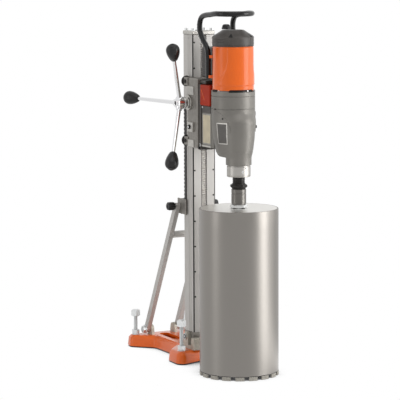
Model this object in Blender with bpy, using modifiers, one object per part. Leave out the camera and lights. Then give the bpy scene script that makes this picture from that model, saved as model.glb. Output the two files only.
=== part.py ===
"""A core drill rig: a tilting column on a cast base, with a crank-fed carriage, a drill motor and a core bit.

Metres, +Z up. The origin lies on the floor under the middle of the column. The bit is on the -Y side,
the braces are on the +Y side, and the crank is on the -X side.
"""

from math import atan2, cos, hypot, pi, radians, sin, sqrt, tan

import bmesh
import bpy
from mathutils import Matrix, Vector

# Clearances
GAP = 0.0003  # between pieces that touch
RUNNING = 0.0004  # between a shaft and its bore
TOOTH_BACKLASH = 0.20  # share of the tooth pitch left free in a mesh

# Resolution
SIDES = 24
FINE_SIDES = 32
SMALL_SIDES = 12

# Base
BASE_HEIGHT = 0.036
BASE_EDGE = 0.004
BASE_FRONT_Y = -0.036
BASE_REAR_Y = 0.288
BASE_FRONT_HALF = 0.100
BASE_WAIST_HALF = 0.046
BASE_REAR_HALF = 0.102
ANCHOR_SLOT_HALF = 0.015
ANCHOR_SLOT_FRONT_Y = 0.135
ANCHOR_SLOT_REAR_Y = 0.245
SCREW_SIDE_INSET = 0.024  # of a front screw from the base's side
REAR_SCREW_SIDE_INSET = 0.022
SCREW_END_INSET = 0.005  # of a front screw behind the front edge
REAR_SCREW_END_INSET = 0.026
FRONT_SCREW_RISE = 0.089
REAR_SCREW_RISE = 0.075
SCREW_RADIUS = 0.006
SCREW_HEAD = 0.019
SCREW_HEAD_HEIGHT = 0.020
SCREW_LIFT = 0.004  # the screw's tip above the floor at rest
NUT_ACROSS_FLATS = 0.019
NUT_HEIGHT = 0.015

# Column foot and tilt pin
TILT_PIN_RADIUS = 0.006
TILT_Y = 0.002
TILT_RISE = 0.034  # of the pin above the base
FOOT_FRONT_Y = -0.048
FOOT_REAR_Y = 0.034
FOOT_FLOOR = 0.011
FOOT_LUG_RADIUS = 0.0135
FOOT_LUG_THICKNESS = 0.009
FOOT_STOP_RISE = 0.034
PIN_HEAD_RADIUS = 0.0085
PIN_HEAD_THICKNESS = 0.004

# Column
COLUMN_WIDTH = 0.072
COLUMN_DEPTH = 0.057
COLUMN_LENGTH = 0.849
COLUMN_WALL = 0.005
COLUMN_CORNER = 0.003
GROOVE_Y = -0.013
GROOVE_DEPTH = 0.0045
GROOVE_HALF = 0.006
SHOE_RISE = 0.0147  # from the tilt pin to the column's end
SHOE_KNUCKLE_RADIUS = 0.0142
SHOE_PLATE = 0.008
SHOE_NOSE_DROP = 0.012  # of the nose below the tilt pin
TOP_PLATE_HEIGHT = 0.011
TOP_PLATE_OVERHANG = 0.001
SPIGOT_DEPTH = 0.008
TOP_BOLT_RADIUS = 0.0065
TOP_BOLT_HEIGHT = 0.017

# Feed rack and pinion
FEED_MODULE = 0.002
PINION_TEETH = 15
RACK_WIDTH = 0.014
RACK_BACK = 0.0045
RACK_END_MARGIN = 0.009
RACK_SLOT_CLEARANCE = 0.0005

# Brace rails, slide and legs
RAIL_Y = 0.0155
RAIL_HEIGHT = 0.013
RAIL_THICKNESS = 0.002
RAIL_BOTTOM_Z = 0.420
RAIL_LENGTH = 0.320
RAIL_PITCH = 0.011
RAIL_NOTCH = 0.004
SLIDE_CHEEK = 0.004
SLIDE_CLEARANCE = 0.0005
SLIDE_FRONT_Y = 0.004
SLIDE_REAR_Y = 0.056
SLIDE_HEIGHT = 0.045
SLIDE_BACK = 0.006
LEG_WIDTH = 0.013
LEG_DEPTH = 0.018
LEG_FOOT_Y = 0.245
LEG_FOOT_RISE = 0.016  # of the lower pivot above the base
LEG_HEAD_Y = 0.045
LEG_HEAD_Z = 0.443
BRACE_PIN_RADIUS = 0.005
BRACE_NUT_RADIUS = 0.010
BRACE_NUT_THICKNESS = 0.009
LUG_THICKNESS = 0.010
LUG_HALF_DEPTH = 0.013
CROSSBAR_RADIUS = 0.010
CROSSBAR_DISTANCE = 0.100  # from the upper pivot, along the leg
KNOB_RADIUS = 0.0125
KNOB_LENGTH = 0.022
KNOB_STANDOFF = 0.002

# Bit, from the floor up
SEGMENT_COUNT = 18
SEGMENT_LENGTH = 0.024
SEGMENT_HEIGHT = 0.0115
SEGMENT_PROUD = 0.001
BIT_RADIUS = 0.1097
BIT_WALL = 0.003
BARREL_LENGTH = 0.4535
BARREL_TOP = 0.006
HUB_RADIUS = 0.0205
HUB_LENGTH = 0.0527
HUB_HEX_HEIGHT = 0.0095
HUB_HEX_RADIUS = 0.025
RING_HEIGHT = 0.0164
RING_RADIUS = 0.0245

# Spindle, collar and gear housing
NOSE_RADIUS = 0.017
NOSE_LENGTH = 0.0167
SPINDLE_RADIUS = 0.0125
COLLAR_RADIUS = 0.03275
COLLAR_HEIGHT = 0.032
HOUSING_HEIGHT = 0.2007
HOUSING_RADIUS = 0.0605
HOUSING_WALL = 0.005
HOUSING_NECK_RADIUS = 0.0355
GEARCASE_FLOOR = 0.1202  # from the housing's lower end to the floor of the gear space
AXIS_OFFSET = 0.031  # of the spindle in front of the armature

# Gear train
FIRST_MODULE = 0.0015
FIRST_PINION_TEETH = 8
FIRST_GEAR_TEETH = 24
SECOND_MODULE = 0.002
SECOND_PINION_TEETH = 9
SECOND_GEAR_TEETH = 21
GEAR_WIDTH = 0.012
WIDE_GEAR_WIDTH = 0.018
SECOND_GEAR_RISE = 0.0075  # above the floor of the gear space
FIRST_GEAR_RISE = 0.0405
SHAFT_RADIUS = 0.006

# Motor
BEARING_PLATE_FLANGE = 0.003
BEARING_PLATE_SPIGOT = 0.009
COVER_RADIUS = 0.0585
COVER_WALL = 0.003
COVER_HEIGHT = 0.1204
STATOR_HEIGHT = 0.080
STATOR_BORE = 0.032
STATOR_RISE = 0.0114
AIR_GAP = 0.0015
FAN_RADIUS = 0.048
COMMUTATOR_RADIUS = 0.014
CAP_RADIUS = 0.0575
CAP_SIDE = 0.0262
CAP_HEIGHT = 0.0447
CAP_FLAT_RADIUS = 0.0295
CAP_WALL = 0.003
CAP_BOSS_RADIUS = 0.012
GLAND_RADIUS = 0.0125
GLAND_HEIGHT = 0.014
GLAND_BACK = 0.0402  # behind the armature's axis
ELECTRONICS_HALF = 0.040
ELECTRONICS_REAR_Y = -0.092
ELECTRONICS_LOW = 0.031  # above the cover's lower end
ELECTRONICS_HEIGHT = 0.085

# Handle
HANDLE_RADIUS = 0.0075
HANDLE_BACK = 0.048
HANDLE_CLEARANCE = 0.0048
HANDLE_RISE = 0.090  # of the front loop above the cover
HANDLE_FOOT = 0.030  # of the tube's lower ends above the cover's lower end
LUG_RISES = (0.036, 0.091)
LUG_HEIGHT = 0.008

# Carriage
CARRIAGE_HALF = 0.055
CARRIAGE_REAR_Y = -0.0325
CARRIAGE_DEPTH = 0.060
CARRIAGE_LOW = 0.0357  # above the housing's lower end
CARRIAGE_HEIGHT = 0.195
EAR_HEIGHT = 0.023
EAR_OUT = 0.0575
ROLLER_RADIUS = 0.0155
ROLLER_HALF_WIDTH = 0.005
ROLLER_SINK = 0.004  # of the rim into the column's groove
AXLE_RADIUS = 0.004
AXLE_HEAD_RADIUS = 0.0065
AXLE_HEAD = 0.003
CRANK_Y = -0.043
CRANK_RISE = 0.1255  # above the carriage's lower end
CRANK_SHAFT_RADIUS = 0.0085
BUSH_RADIUS = 0.021
BUSH_FLANGE = 0.008
BUSH_SLEEVE_RADIUS = 0.0125
BUSH_SLEEVE = 0.028
LOCK_RADIUS = 0.006
LOCK_Y = -0.055
LOCK_RISE = 0.058
LOCK_LENGTH = 0.022
LOCK_STANDOUT = 0.009
PLATE_THICKNESS = 0.015
PLATE_HALF = 0.050
PLATE_LOW = 0.002
PLATE_HEIGHT = 0.178
HOOK_RADIUS = 0.0055
HOOK_DROP = 0.0075  # of the hook bar's centre below the carriage
HOOK_Y = -0.083
BRACKET_HALF = 0.047
BRACKET_DEPTH = 0.0355
BRACKET_HEIGHT = 0.122
BRACKET_COVER_HALF = 0.0535
CLAMP_HALF = 0.045
CLAMP_HEIGHT = 0.010
CLAMP_DEPTH = 0.034

# Crank
HUB_LENGTH_X = 0.0315
CRANK_HUB_RADIUS = 0.0175
SPOKE_COUNT = 3
SPOKE_START = radians(88)
SPOKE_CONE = radians(21)
SPOKE_REACH = 0.212
SPOKE_RADIUS = 0.006
SPOKE_TIP_RADIUS = 0.005
SPOKE_SOCKET = 0.0105
KNOB_SOCKET = 0.020
PEAR_RADIUS = 0.019
PEAR_LENGTH = 0.053

# Places that follow from the sizes above
FRONT_SCREW = (BASE_FRONT_HALF - SCREW_SIDE_INSET, BASE_FRONT_Y + SCREW_END_INSET)
REAR_SCREW = (BASE_REAR_HALF - REAR_SCREW_SIDE_INSET, BASE_REAR_Y - REAR_SCREW_END_INSET)
COLUMN_HALF = COLUMN_WIDTH / 2
COLUMN_FRONT_Y = -COLUMN_DEPTH / 2
COLUMN_REAR_Y = COLUMN_DEPTH / 2
TILT_Z = BASE_HEIGHT + TILT_RISE
COLUMN_BOTTOM_Z = TILT_Z + SHOE_RISE + GAP
COLUMN_TOP_Z = COLUMN_BOTTOM_Z + COLUMN_LENGTH
RACK_ROOT_Y = CRANK_Y + FEED_MODULE * PINION_TEETH / 2 + 1.25 * FEED_MODULE
RACK_TIP_Y = CRANK_Y + FEED_MODULE * PINION_TEETH / 2 - FEED_MODULE
RACK_REAR_Y = RACK_ROOT_Y + RACK_BACK
RACK_SLOT_Y = RACK_REAR_Y + GAP
CAVITY_HALF = COLUMN_HALF - GROOVE_DEPTH - COLUMN_WALL + 0.001
CAVITY_FRONT_Y = RACK_SLOT_Y + COLUMN_WALL - 0.001
CAVITY_REAR_Y = COLUMN_REAR_Y - COLUMN_WALL
RAIL_OUT = COLUMN_HALF + GAP + RAIL_THICKNESS
CHEEK_IN = RAIL_OUT + SLIDE_CLEARANCE
CHEEK_OUT = CHEEK_IN + SLIDE_CHEEK
LEG_IN = CHEEK_OUT + SLIDE_CLEARANCE
LEG_OUT = LEG_IN + LEG_WIDTH
LEG_FOOT_Z = BASE_HEIGHT + LEG_FOOT_RISE

BARREL_TOP_Z = SEGMENT_HEIGHT + BARREL_LENGTH
HUB_LOW_Z = BARREL_TOP_Z + GAP
HUB_TOP_Z = HUB_LOW_Z + HUB_LENGTH
RING_LOW_Z = HUB_TOP_Z + GAP
RING_TOP_Z = RING_LOW_Z + RING_HEIGHT
NOSE_LOW_Z = RING_TOP_Z + GAP
NOSE_TOP_Z = NOSE_LOW_Z + NOSE_LENGTH
COLLAR_LOW_Z = NOSE_TOP_Z + GAP
COLLAR_TOP_Z = COLLAR_LOW_Z + COLLAR_HEIGHT
HOUSING_LOW_Z = COLLAR_TOP_Z + GAP
HOUSING_TOP_Z = HOUSING_LOW_Z + HOUSING_HEIGHT
GEAR_FLOOR_Z = HOUSING_LOW_Z + GEARCASE_FLOOR
SECOND_GEAR_Z = GEAR_FLOOR_Z + SECOND_GEAR_RISE
FIRST_GEAR_Z = GEAR_FLOOR_Z + FIRST_GEAR_RISE
PLATE_FLANGE_TOP_Z = HOUSING_TOP_Z + GAP + BEARING_PLATE_FLANGE
COVER_LOW_Z = PLATE_FLANGE_TOP_Z + GAP
COVER_TOP_Z = COVER_LOW_Z + COVER_HEIGHT
CAP_LOW_Z = COVER_TOP_Z + GAP
CAP_TOP_Z = CAP_LOW_Z + CAP_HEIGHT
STATOR_LOW_Z = COVER_LOW_Z + STATOR_RISE
STATOR_TOP_Z = STATOR_LOW_Z + STATOR_HEIGHT

CARRIAGE_LOW_Z = HOUSING_LOW_Z + CARRIAGE_LOW
CARRIAGE_TOP_Z = CARRIAGE_LOW_Z + CARRIAGE_HEIGHT
CARRIAGE_FRONT_Y = CARRIAGE_REAR_Y - CARRIAGE_DEPTH
CRANK_Z = CARRIAGE_LOW_Z + CRANK_RISE
ROLLER_X = COLUMN_HALF + ROLLER_RADIUS - ROLLER_SINK
UPPER_ROLLER_Z = CARRIAGE_TOP_Z - EAR_HEIGHT / 2 + 0.001
LOWER_ROLLER_Z = CARRIAGE_LOW_Z + EAR_HEIGHT / 2 + 0.0055
PLATE_REAR_Y = CARRIAGE_FRONT_Y - GAP
PLATE_FRONT_Y = PLATE_REAR_Y - PLATE_THICKNESS
PLATE_LOW_Z = CARRIAGE_LOW_Z + PLATE_LOW
PLATE_TOP_Z = PLATE_LOW_Z + PLATE_HEIGHT
MOTOR_Y = PLATE_FRONT_Y - GAP - BRACKET_DEPTH - HOUSING_RADIUS
SPINDLE_Y = MOTOR_Y - AXIS_OFFSET
BRACKET_TOP_Z = CARRIAGE_LOW_Z + BRACKET_HEIGHT

FIRST_CENTRES = FIRST_MODULE * (FIRST_PINION_TEETH + FIRST_GEAR_TEETH) / 2
SECOND_CENTRES = SECOND_MODULE * (SECOND_PINION_TEETH + SECOND_GEAR_TEETH) / 2
# The layshaft stands where circles of the two centre distances cross.
LAYSHAFT_AHEAD = (FIRST_CENTRES**2 - SECOND_CENTRES**2 + AXIS_OFFSET**2) / (2 * AXIS_OFFSET)
LAYSHAFT_X = sqrt(FIRST_CENTRES**2 - LAYSHAFT_AHEAD**2)
LAYSHAFT_Y = MOTOR_Y - LAYSHAFT_AHEAD

HANDLE_HALF = sqrt((COVER_RADIUS + HANDLE_CLEARANCE + HANDLE_RADIUS) ** 2 - HANDLE_BACK**2)
HANDLE_LEG_Y = MOTOR_Y + HANDLE_BACK
HANDLE_TOP_Z = COVER_TOP_Z + HANDLE_RISE
HANDLE_FOOT_Z = COVER_LOW_Z + HANDLE_FOOT

BUSH_OUT_X = CARRIAGE_HALF + GAP + BUSH_FLANGE
CRANK_HUB_IN_X = BUSH_OUT_X + 0.004
CRANK_HUB_OUT_X = CRANK_HUB_IN_X + HUB_LENGTH_X
CRANK_HUB_MID_X = (CRANK_HUB_IN_X + CRANK_HUB_OUT_X) / 2

# Turns an upright piece so that its own +Z lies along the world's +X or +Y.
UPRIGHT = (0.0, 0.0, 0.0)
ALONG_X = tuple(Matrix(((0, 0, 1), (1, 0, 0), (0, 1, 0))).to_euler())
ALONG_Y = tuple(Matrix(((0, 1, 0), (0, 0, 1), (1, 0, 0))).to_euler())
TO_LEFT = tuple((Matrix.Rotation(pi, 3, "Y") @ Matrix(((0, 0, 1), (1, 0, 0), (0, 1, 0)))).to_euler())


def clear_scene():
    """Removes every object of the scene."""
    for obj in list(bpy.data.objects):
        bpy.data.objects.remove(obj, do_unlink=True)


def collection(name):
    """A new collection of the scene."""
    made = bpy.data.collections.new(name)
    bpy.context.scene.collection.children.link(made)
    return made


def material(name, colour, roughness, metallic):
    """A Principled material."""
    made = bpy.data.materials.new(name)
    made.use_nodes = True
    shader = made.node_tree.nodes["Principled BSDF"]
    shader.inputs["Base Color"].default_value = (*colour, 1.0)
    shader.inputs["Roughness"].default_value = roughness
    shader.inputs["Metallic"].default_value = metallic
    return made


clear_scene()
PARTS = collection("core_drill_rig")
CUTTERS = collection("cutters")
ORANGE = material("orange_paint", (0.72, 0.14, 0.035), 0.35, 0.0)
GREY_CAST = material("grey_painted_casting", (0.23, 0.22, 0.21), 0.5, 0.2)
BARE_CAST = material("bare_aluminium_casting", (0.38, 0.36, 0.34), 0.5, 0.8)
ANODISED = material("anodised_aluminium", (0.55, 0.54, 0.52), 0.35, 0.9)
ZINC = material("zinc_plated_steel", (0.6, 0.6, 0.6), 0.3, 1.0)
STEEL = material("machined_steel", (0.4, 0.39, 0.38), 0.35, 1.0)
CHROME = material("chromed_steel", (0.75, 0.75, 0.75), 0.12, 1.0)
BLACK_PLASTIC = material("black_plastic", (0.02, 0.02, 0.02), 0.4, 0.0)
DARK_PLASTIC = material("dark_grey_plastic", (0.06, 0.055, 0.05), 0.45, 0.0)
BLACK_STEEL = material("blackened_steel", (0.04, 0.04, 0.04), 0.4, 0.8)
COPPER = material("copper_winding", (0.55, 0.25, 0.12), 0.35, 1.0)


def add(name, mesh, finish, place=(0, 0, 0), turn=UPRIGHT):
    """A piece of the object, or a cutter where finish is None."""
    obj = bpy.data.objects.new(name, mesh)
    obj.location = place
    obj.rotation_euler = turn
    if finish is None:
        CUTTERS.objects.link(obj)
        obj.hide_render = True
        obj.display_type = "WIRE"
    else:
        PARTS.objects.link(obj)
        mesh.materials.clear()
        mesh.materials.append(finish)
    return obj


def smooth(obj, angle=35):
    """Shades the round faces smooth and keeps the edges."""
    obj.data.shade_smooth()
    obj.data.set_sharp_from_angle(angle=radians(angle))
    return obj


def box(name, low, high, finish=None, edge=0.0):
    """A box between two corners, with its edges rounded where edge is given."""
    mesh = bpy.data.meshes.new(name)
    shape = bmesh.new()
    bmesh.ops.create_cube(shape, size=1.0)
    size = Vector(high) - Vector(low)
    bmesh.ops.scale(shape, vec=size, verts=shape.verts)
    shape.to_mesh(mesh)
    shape.free()
    obj = add(name, mesh, finish, (Vector(high) + Vector(low)) / 2)
    if edge:
        bevel(obj, edge)
    return obj


def bevel(obj, width, segments=1, angle=40):
    """Rounds the edges of a piece."""
    modifier = obj.modifiers.new("edges", "BEVEL")
    modifier.width = width
    modifier.segments = segments
    modifier.limit_method = "ANGLE"
    modifier.angle_limit = radians(angle)
    return obj


def rod(name, start, end, radius, finish=None, end_radius=None, sides=SIDES):
    """A round bar or a cone between two points."""
    start, end = Vector(start), Vector(end)
    mesh = bpy.data.meshes.new(name)
    shape = bmesh.new()
    bmesh.ops.create_cone(
        shape,
        cap_ends=True,
        segments=sides,
        radius1=radius,
        radius2=radius if end_radius is None else end_radius,
        depth=(end - start).length,
    )
    shape.to_mesh(mesh)
    shape.free()
    turn = (end - start).to_track_quat("Z", "Y").to_euler()
    return smooth(add(name, mesh, finish, (start + end) / 2, turn))


def turned(name, profile, place, finish=None, turn=UPRIGHT, sides=SIDES, loop=False):
    """A turned piece. The profile holds (radius, height) points, down the outer side."""
    mesh = bpy.data.meshes.new(name)
    count = len(profile)
    edges = [(i, i + 1) for i in range(count - 1)]
    if loop:
        edges.append((count - 1, 0))
    mesh.from_pydata([(radius, 0, height) for radius, height in profile], edges, [])
    obj = add(name, mesh, finish, place, turn)
    screw = obj.modifiers.new("turning", "SCREW")
    screw.angle = 2 * pi
    screw.steps = sides
    screw.render_steps = sides
    screw.use_merge_vertices = True
    screw.merge_threshold = 1e-5
    screw.use_smooth_shade = True
    return obj


def solid_profile(points):
    """Closes a profile at the axis, above and below."""
    return [(0, points[0][1]), *points, (0, points[-1][1])]


def plate(name, outlines, thickness, place, finish=None, turn=UPRIGHT):
    """A flat piece: closed outlines, the first one outside, centred on its own plane."""
    curve = bpy.data.curves.new(name, "CURVE")
    curve.dimensions = "2D"
    curve.fill_mode = "BOTH"
    curve.extrude = thickness / 2
    for outline in outlines:
        spline = curve.splines.new("POLY")
        spline.points.add(len(outline) - 1)
        spline.use_cyclic_u = True
        for point, (x, y) in zip(spline.points, outline):
            point.co = (x, y, 0, 1)
    guide = bpy.data.objects.new(name + "_outline", curve)
    CUTTERS.objects.link(guide)
    graph = bpy.context.evaluated_depsgraph_get()
    mesh = bpy.data.meshes.new_from_object(guide.evaluated_get(graph))
    bpy.data.objects.remove(guide)
    bpy.data.curves.remove(curve)
    shape = bmesh.new()
    shape.from_mesh(mesh)
    bmesh.ops.remove_doubles(shape, verts=shape.verts, dist=1e-6)
    shape.to_mesh(mesh)
    shape.free()
    mesh.name = name
    return add(name, mesh, finish, place, turn)


def boolean(obj, other, operation):
    """Cuts another shape from a piece, or joins it to the piece."""
    modifier = obj.modifiers.new(other.name, "BOOLEAN")
    modifier.operation = operation
    modifier.solver = "EXACT"
    modifier.object = other
    return obj


def cut(obj, *others):
    """Cuts each of the other shapes from a piece."""
    for other in others:
        boolean(obj, other, "DIFFERENCE")
    return obj


def join(obj, *others):
    """Joins each of the other shapes to a piece."""
    for other in others:
        boolean(obj, other, "UNION")
    return obj


def joint(name, place, *pieces):
    """An empty on a joint's axis, which carries the pieces that move with it."""
    empty = bpy.data.objects.new(name, None)
    empty.location = place
    PARTS.objects.link(empty)
    bpy.context.view_layer.update()
    for piece in pieces:
        piece.parent = empty
        piece.matrix_parent_inverse = empty.matrix_world.inverted()
    return empty


def arc(centre, radius, start, end, count):
    """Points on an arc, from one angle to another, both in degrees."""
    angles = [radians(start + (end - start) * i / (count - 1)) for i in range(count)]
    return [(centre[0] + radius * cos(a), centre[1] + radius * sin(a)) for a in angles]


def mirrored(points):
    """A closed outline from its +X half, given from front to rear."""
    other = [(-x, y) for x, y in reversed(points) if abs(x) > 1e-6]
    return points + other


def gear_outline(teeth, module, phase):
    """The outline of a gear. One tooth's middle stands at the angle phase."""
    pitch_radius = module * teeth / 2
    root = pitch_radius - 1.25 * module
    tip = pitch_radius + module
    pitch = 2 * pi / teeth
    half_at_pitch = pitch * (0.5 - TOOTH_BACKLASH / 2) / 2
    half_tip = half_at_pitch - tan(radians(20)) * module / pitch_radius
    half_root = half_at_pitch + 0.6 * tan(radians(20)) * module / pitch_radius
    points = []
    for index in range(teeth):
        middle = phase + index * pitch
        for radius, offset in ((root, -half_root), (tip, -half_tip), (tip, half_tip), (root, half_root)):
            points.append((radius * cos(middle + offset), radius * sin(middle + offset)))
    return points


def upright_lug(name, x, thickness, y, radius, low, eye_z):
    """A lug across the X axis with a round top about its eye."""
    outline = arc((y, eye_z), radius, 0, 180, 13) + [(y - radius, low), (y + radius, low)]
    return plate(name, [outline], thickness, (x, 0, 0), None, ALONG_X)


# ---------------------------------------------------------------- base


def base_outline():
    """The base's outline: a broad front, a waist and a broad rear."""
    return mirrored(
        [
            (0.022, BASE_FRONT_Y - 0.005),
            (0.084, BASE_FRONT_Y - 0.0285),
            (BASE_FRONT_HALF, BASE_FRONT_Y - 0.014),
            (BASE_FRONT_HALF - 0.003, BASE_FRONT_Y + 0.0485),
            (BASE_WAIST_HALF, BASE_FRONT_Y + 0.105),
            (BASE_WAIST_HALF, BASE_REAR_Y - 0.090),
            (BASE_REAR_HALF, BASE_REAR_Y - 0.034),
            (BASE_REAR_HALF - 0.006, BASE_REAR_Y),
            (BASE_WAIST_HALF - 0.012, BASE_REAR_Y - 0.010),
        ]
    )


def slot_outline():
    """The anchor slot, with a round end at each end."""
    front = (0, ANCHOR_SLOT_FRONT_Y + ANCHOR_SLOT_HALF)
    rear = (0, ANCHOR_SLOT_REAR_Y - ANCHOR_SLOT_HALF)
    return arc(rear, ANCHOR_SLOT_HALF, 0, 180, 9) + arc(front, ANCHOR_SLOT_HALF, 180, 360, 9)


def screw_places():
    """The four levelling screws: name, x, y and rise above the base."""
    return [
        (f"{end}_{side}", sign * place[0], place[1], rise)
        for end, place, rise in (("front", FRONT_SCREW, FRONT_SCREW_RISE), ("rear", REAR_SCREW, REAR_SCREW_RISE))
        for side, sign in (("left", -1), ("right", 1))
    ]


def make_base():
    """The cast plate with its anchor slot, screw holes and lugs for the braces."""
    base = plate("base_plate", [base_outline()], BASE_HEIGHT, (0, 0, BASE_HEIGHT / 2), ORANGE)
    bevel(base, BASE_EDGE)
    lug_out = LEG_IN - SLIDE_CLEARANCE
    lug_top = LEG_FOOT_Z
    for side, sign in (("left", -1), ("right", 1)):
        x = sign * (lug_out - LUG_THICKNESS / 2)
        low = BASE_HEIGHT - 0.01
        join(base, upright_lug(f"lug_{side}", x, LUG_THICKNESS, LEG_FOOT_Y, LUG_HALF_DEPTH, low, lug_top))
    slot = plate("anchor_slot", [slot_outline()], BASE_HEIGHT * 2, (0, 0, BASE_HEIGHT / 2))
    cut(base, slot)
    for name, x, y, _ in screw_places():
        cut(
            base,
            rod(f"hole_{name}", (x, y, -0.01), (x, y, BASE_HEIGHT + 0.01), SCREW_RADIUS + RUNNING, sides=SMALL_SIDES),
        )
    pin_bore = rod(
        "lug_bore",
        (-LEG_OUT, LEG_FOOT_Y, LEG_FOOT_Z),
        (LEG_OUT, LEG_FOOT_Y, LEG_FOOT_Z),
        BRACE_PIN_RADIUS + GAP,
        sides=16,
    )
    cut(base, pin_bore)
    return base


def make_screw(name, x, y, rise):
    """A levelling screw with a square head, on its own slide axis, and its lock nut."""
    top = BASE_HEIGHT + rise
    head_low = top - SCREW_HEAD_HEIGHT
    half = SCREW_HEAD / 2
    screw = rod(f"levelling_screw_{name}", (x, y, SCREW_LIFT), (x, y, head_low + 0.002), SCREW_RADIUS, ZINC, sides=SMALL_SIDES)
    head = box(f"screw_head_{name}", (x - half, y - half, head_low), (x + half, y + half, top), edge=0.001)
    join(screw, head)
    joint(f"{name}_screw_axis", (x, y, BASE_HEIGHT), screw)
    radius = NUT_ACROSS_FLATS / sqrt(3)
    low = BASE_HEIGHT + GAP
    nut = rod(f"lock_nut_{name}", (x, y, low), (x, y, low + NUT_HEIGHT), radius, ZINC, sides=6)
    cut(nut, rod(f"nut_bore_{name}", (x, y, low - 0.01), (x, y, low + 0.05), SCREW_RADIUS + RUNNING, sides=SMALL_SIDES))


def make_foot():
    """The column foot: a stepped block with two lugs for the tilt pin and a stop in front."""
    half = COLUMN_HALF + GAP + FOOT_LUG_THICKNESS
    low = BASE_HEIGHT + GAP
    foot = box("column_foot", (-half, FOOT_FRONT_Y, low), (half, FOOT_REAR_Y, BASE_HEIGHT + FOOT_FLOOR), GREY_CAST)
    stop = box(
        "foot_stop",
        (-half, FOOT_FRONT_Y, low + 0.002),
        (half, COLUMN_FRONT_Y - SLIDE_CLEARANCE, BASE_HEIGHT + FOOT_STOP_RISE),
        edge=0.0015,
    )
    join(foot, stop)
    for side, sign in (("left", -1), ("right", 1)):
        x = sign * (half - FOOT_LUG_THICKNESS / 2)
        lug = upright_lug(f"foot_lug_{side}", x, FOOT_LUG_THICKNESS - GAP, TILT_Y, FOOT_LUG_RADIUS, low + 0.002, TILT_Z)
        join(foot, lug)
    bore = rod("foot_bore", (-half - 0.01, TILT_Y, TILT_Z), (half + 0.01, TILT_Y, TILT_Z), TILT_PIN_RADIUS + GAP, sides=20)
    cut(foot, bore)
    end = half + GAP
    pin = rod("tilt_pin", (-end, TILT_Y, TILT_Z), (end, TILT_Y, TILT_Z), TILT_PIN_RADIUS, ZINC, sides=20)
    for side, sign in (("left", -1), ("right", 1)):
        start, stop_x = sign * end, sign * (end + PIN_HEAD_THICKNESS)
        head = rod(f"pin_head_{side}", (start, TILT_Y, TILT_Z), (stop_x, TILT_Y, TILT_Z), PIN_HEAD_RADIUS, sides=20)
        join(pin, head)


# ---------------------------------------------------------------- column


def column_outline():
    """The column's outer outline: a roller groove in each side and the rack's slot in front."""
    slot_half = RACK_WIDTH / 2 + RACK_SLOT_CLEARANCE
    half, corner = COLUMN_HALF, COLUMN_CORNER
    groove = 0.0015
    return mirrored(
        [
            (slot_half, RACK_SLOT_Y),
            (slot_half, COLUMN_FRONT_Y),
            (half - corner, COLUMN_FRONT_Y),
            (half, COLUMN_FRONT_Y + corner),
            (half, GROOVE_Y - GROOVE_HALF),
            (half - GROOVE_DEPTH, GROOVE_Y - groove),
            (half - GROOVE_DEPTH, GROOVE_Y + groove),
            (half, GROOVE_Y + GROOVE_HALF),
            (half, COLUMN_REAR_Y - corner),
            (half - corner, COLUMN_REAR_Y),
        ]
    )


def cavity_outline(inset=0.0):
    """The column's hollow, or the outline of a plug that fits in it."""
    half = CAVITY_HALF - inset
    front, rear = CAVITY_FRONT_Y + inset, CAVITY_REAR_Y - inset
    return [(-half, front), (half, front), (half, rear), (-half, rear)]


def rack_outline():
    """The feed rack seen from its side: (height, depth) points, toothed along the front."""
    pitch = pi * FEED_MODULE
    pinion_z = CRANK_Z
    low = COLUMN_BOTTOM_Z + RACK_END_MARGIN
    high = COLUMN_TOP_Z - RACK_END_MARGIN
    half_pitch_line = pitch * (0.5 - TOOTH_BACKLASH / 2) / 2
    half_tip = half_pitch_line - tan(radians(20)) * FEED_MODULE
    half_root = half_pitch_line + tan(radians(20)) * 1.25 * FEED_MODULE
    first = int((low + half_root - pinion_z) / pitch - 0.5) + 1
    points = [(low, RACK_REAR_Y), (low, RACK_ROOT_Y)]
    index = first
    while pinion_z + (index + 0.5) * pitch + half_root < high:
        middle = pinion_z + (index + 0.5) * pitch
        if middle - half_root > low:
            points += [
                (middle - half_root, RACK_ROOT_Y),
                (middle - half_tip, RACK_TIP_Y),
                (middle + half_tip, RACK_TIP_Y),
                (middle + half_root, RACK_ROOT_Y),
            ]
        index += 1
    points += [(high, RACK_ROOT_Y), (high, RACK_REAR_Y)]
    return [(y, z) for z, y in points]


def rail_outline():
    """A brace locking rail seen from its side, notched along its rear edge."""
    front, rear = RAIL_Y - RAIL_HEIGHT / 2, RAIL_Y + RAIL_HEIGHT / 2
    points = [(front, RAIL_BOTTOM_Z), (rear, RAIL_BOTTOM_Z)]
    for index in range(int(RAIL_LENGTH / RAIL_PITCH)):
        low = RAIL_BOTTOM_Z + (index + 0.5) * RAIL_PITCH
        high = low + RAIL_PITCH / 2
        points += [(rear, low), (rear - RAIL_NOTCH, low), (rear - RAIL_NOTCH, high), (rear, high)]
    top = RAIL_BOTTOM_Z + RAIL_LENGTH
    return points + [(rear, top), (front, top)]


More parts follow.
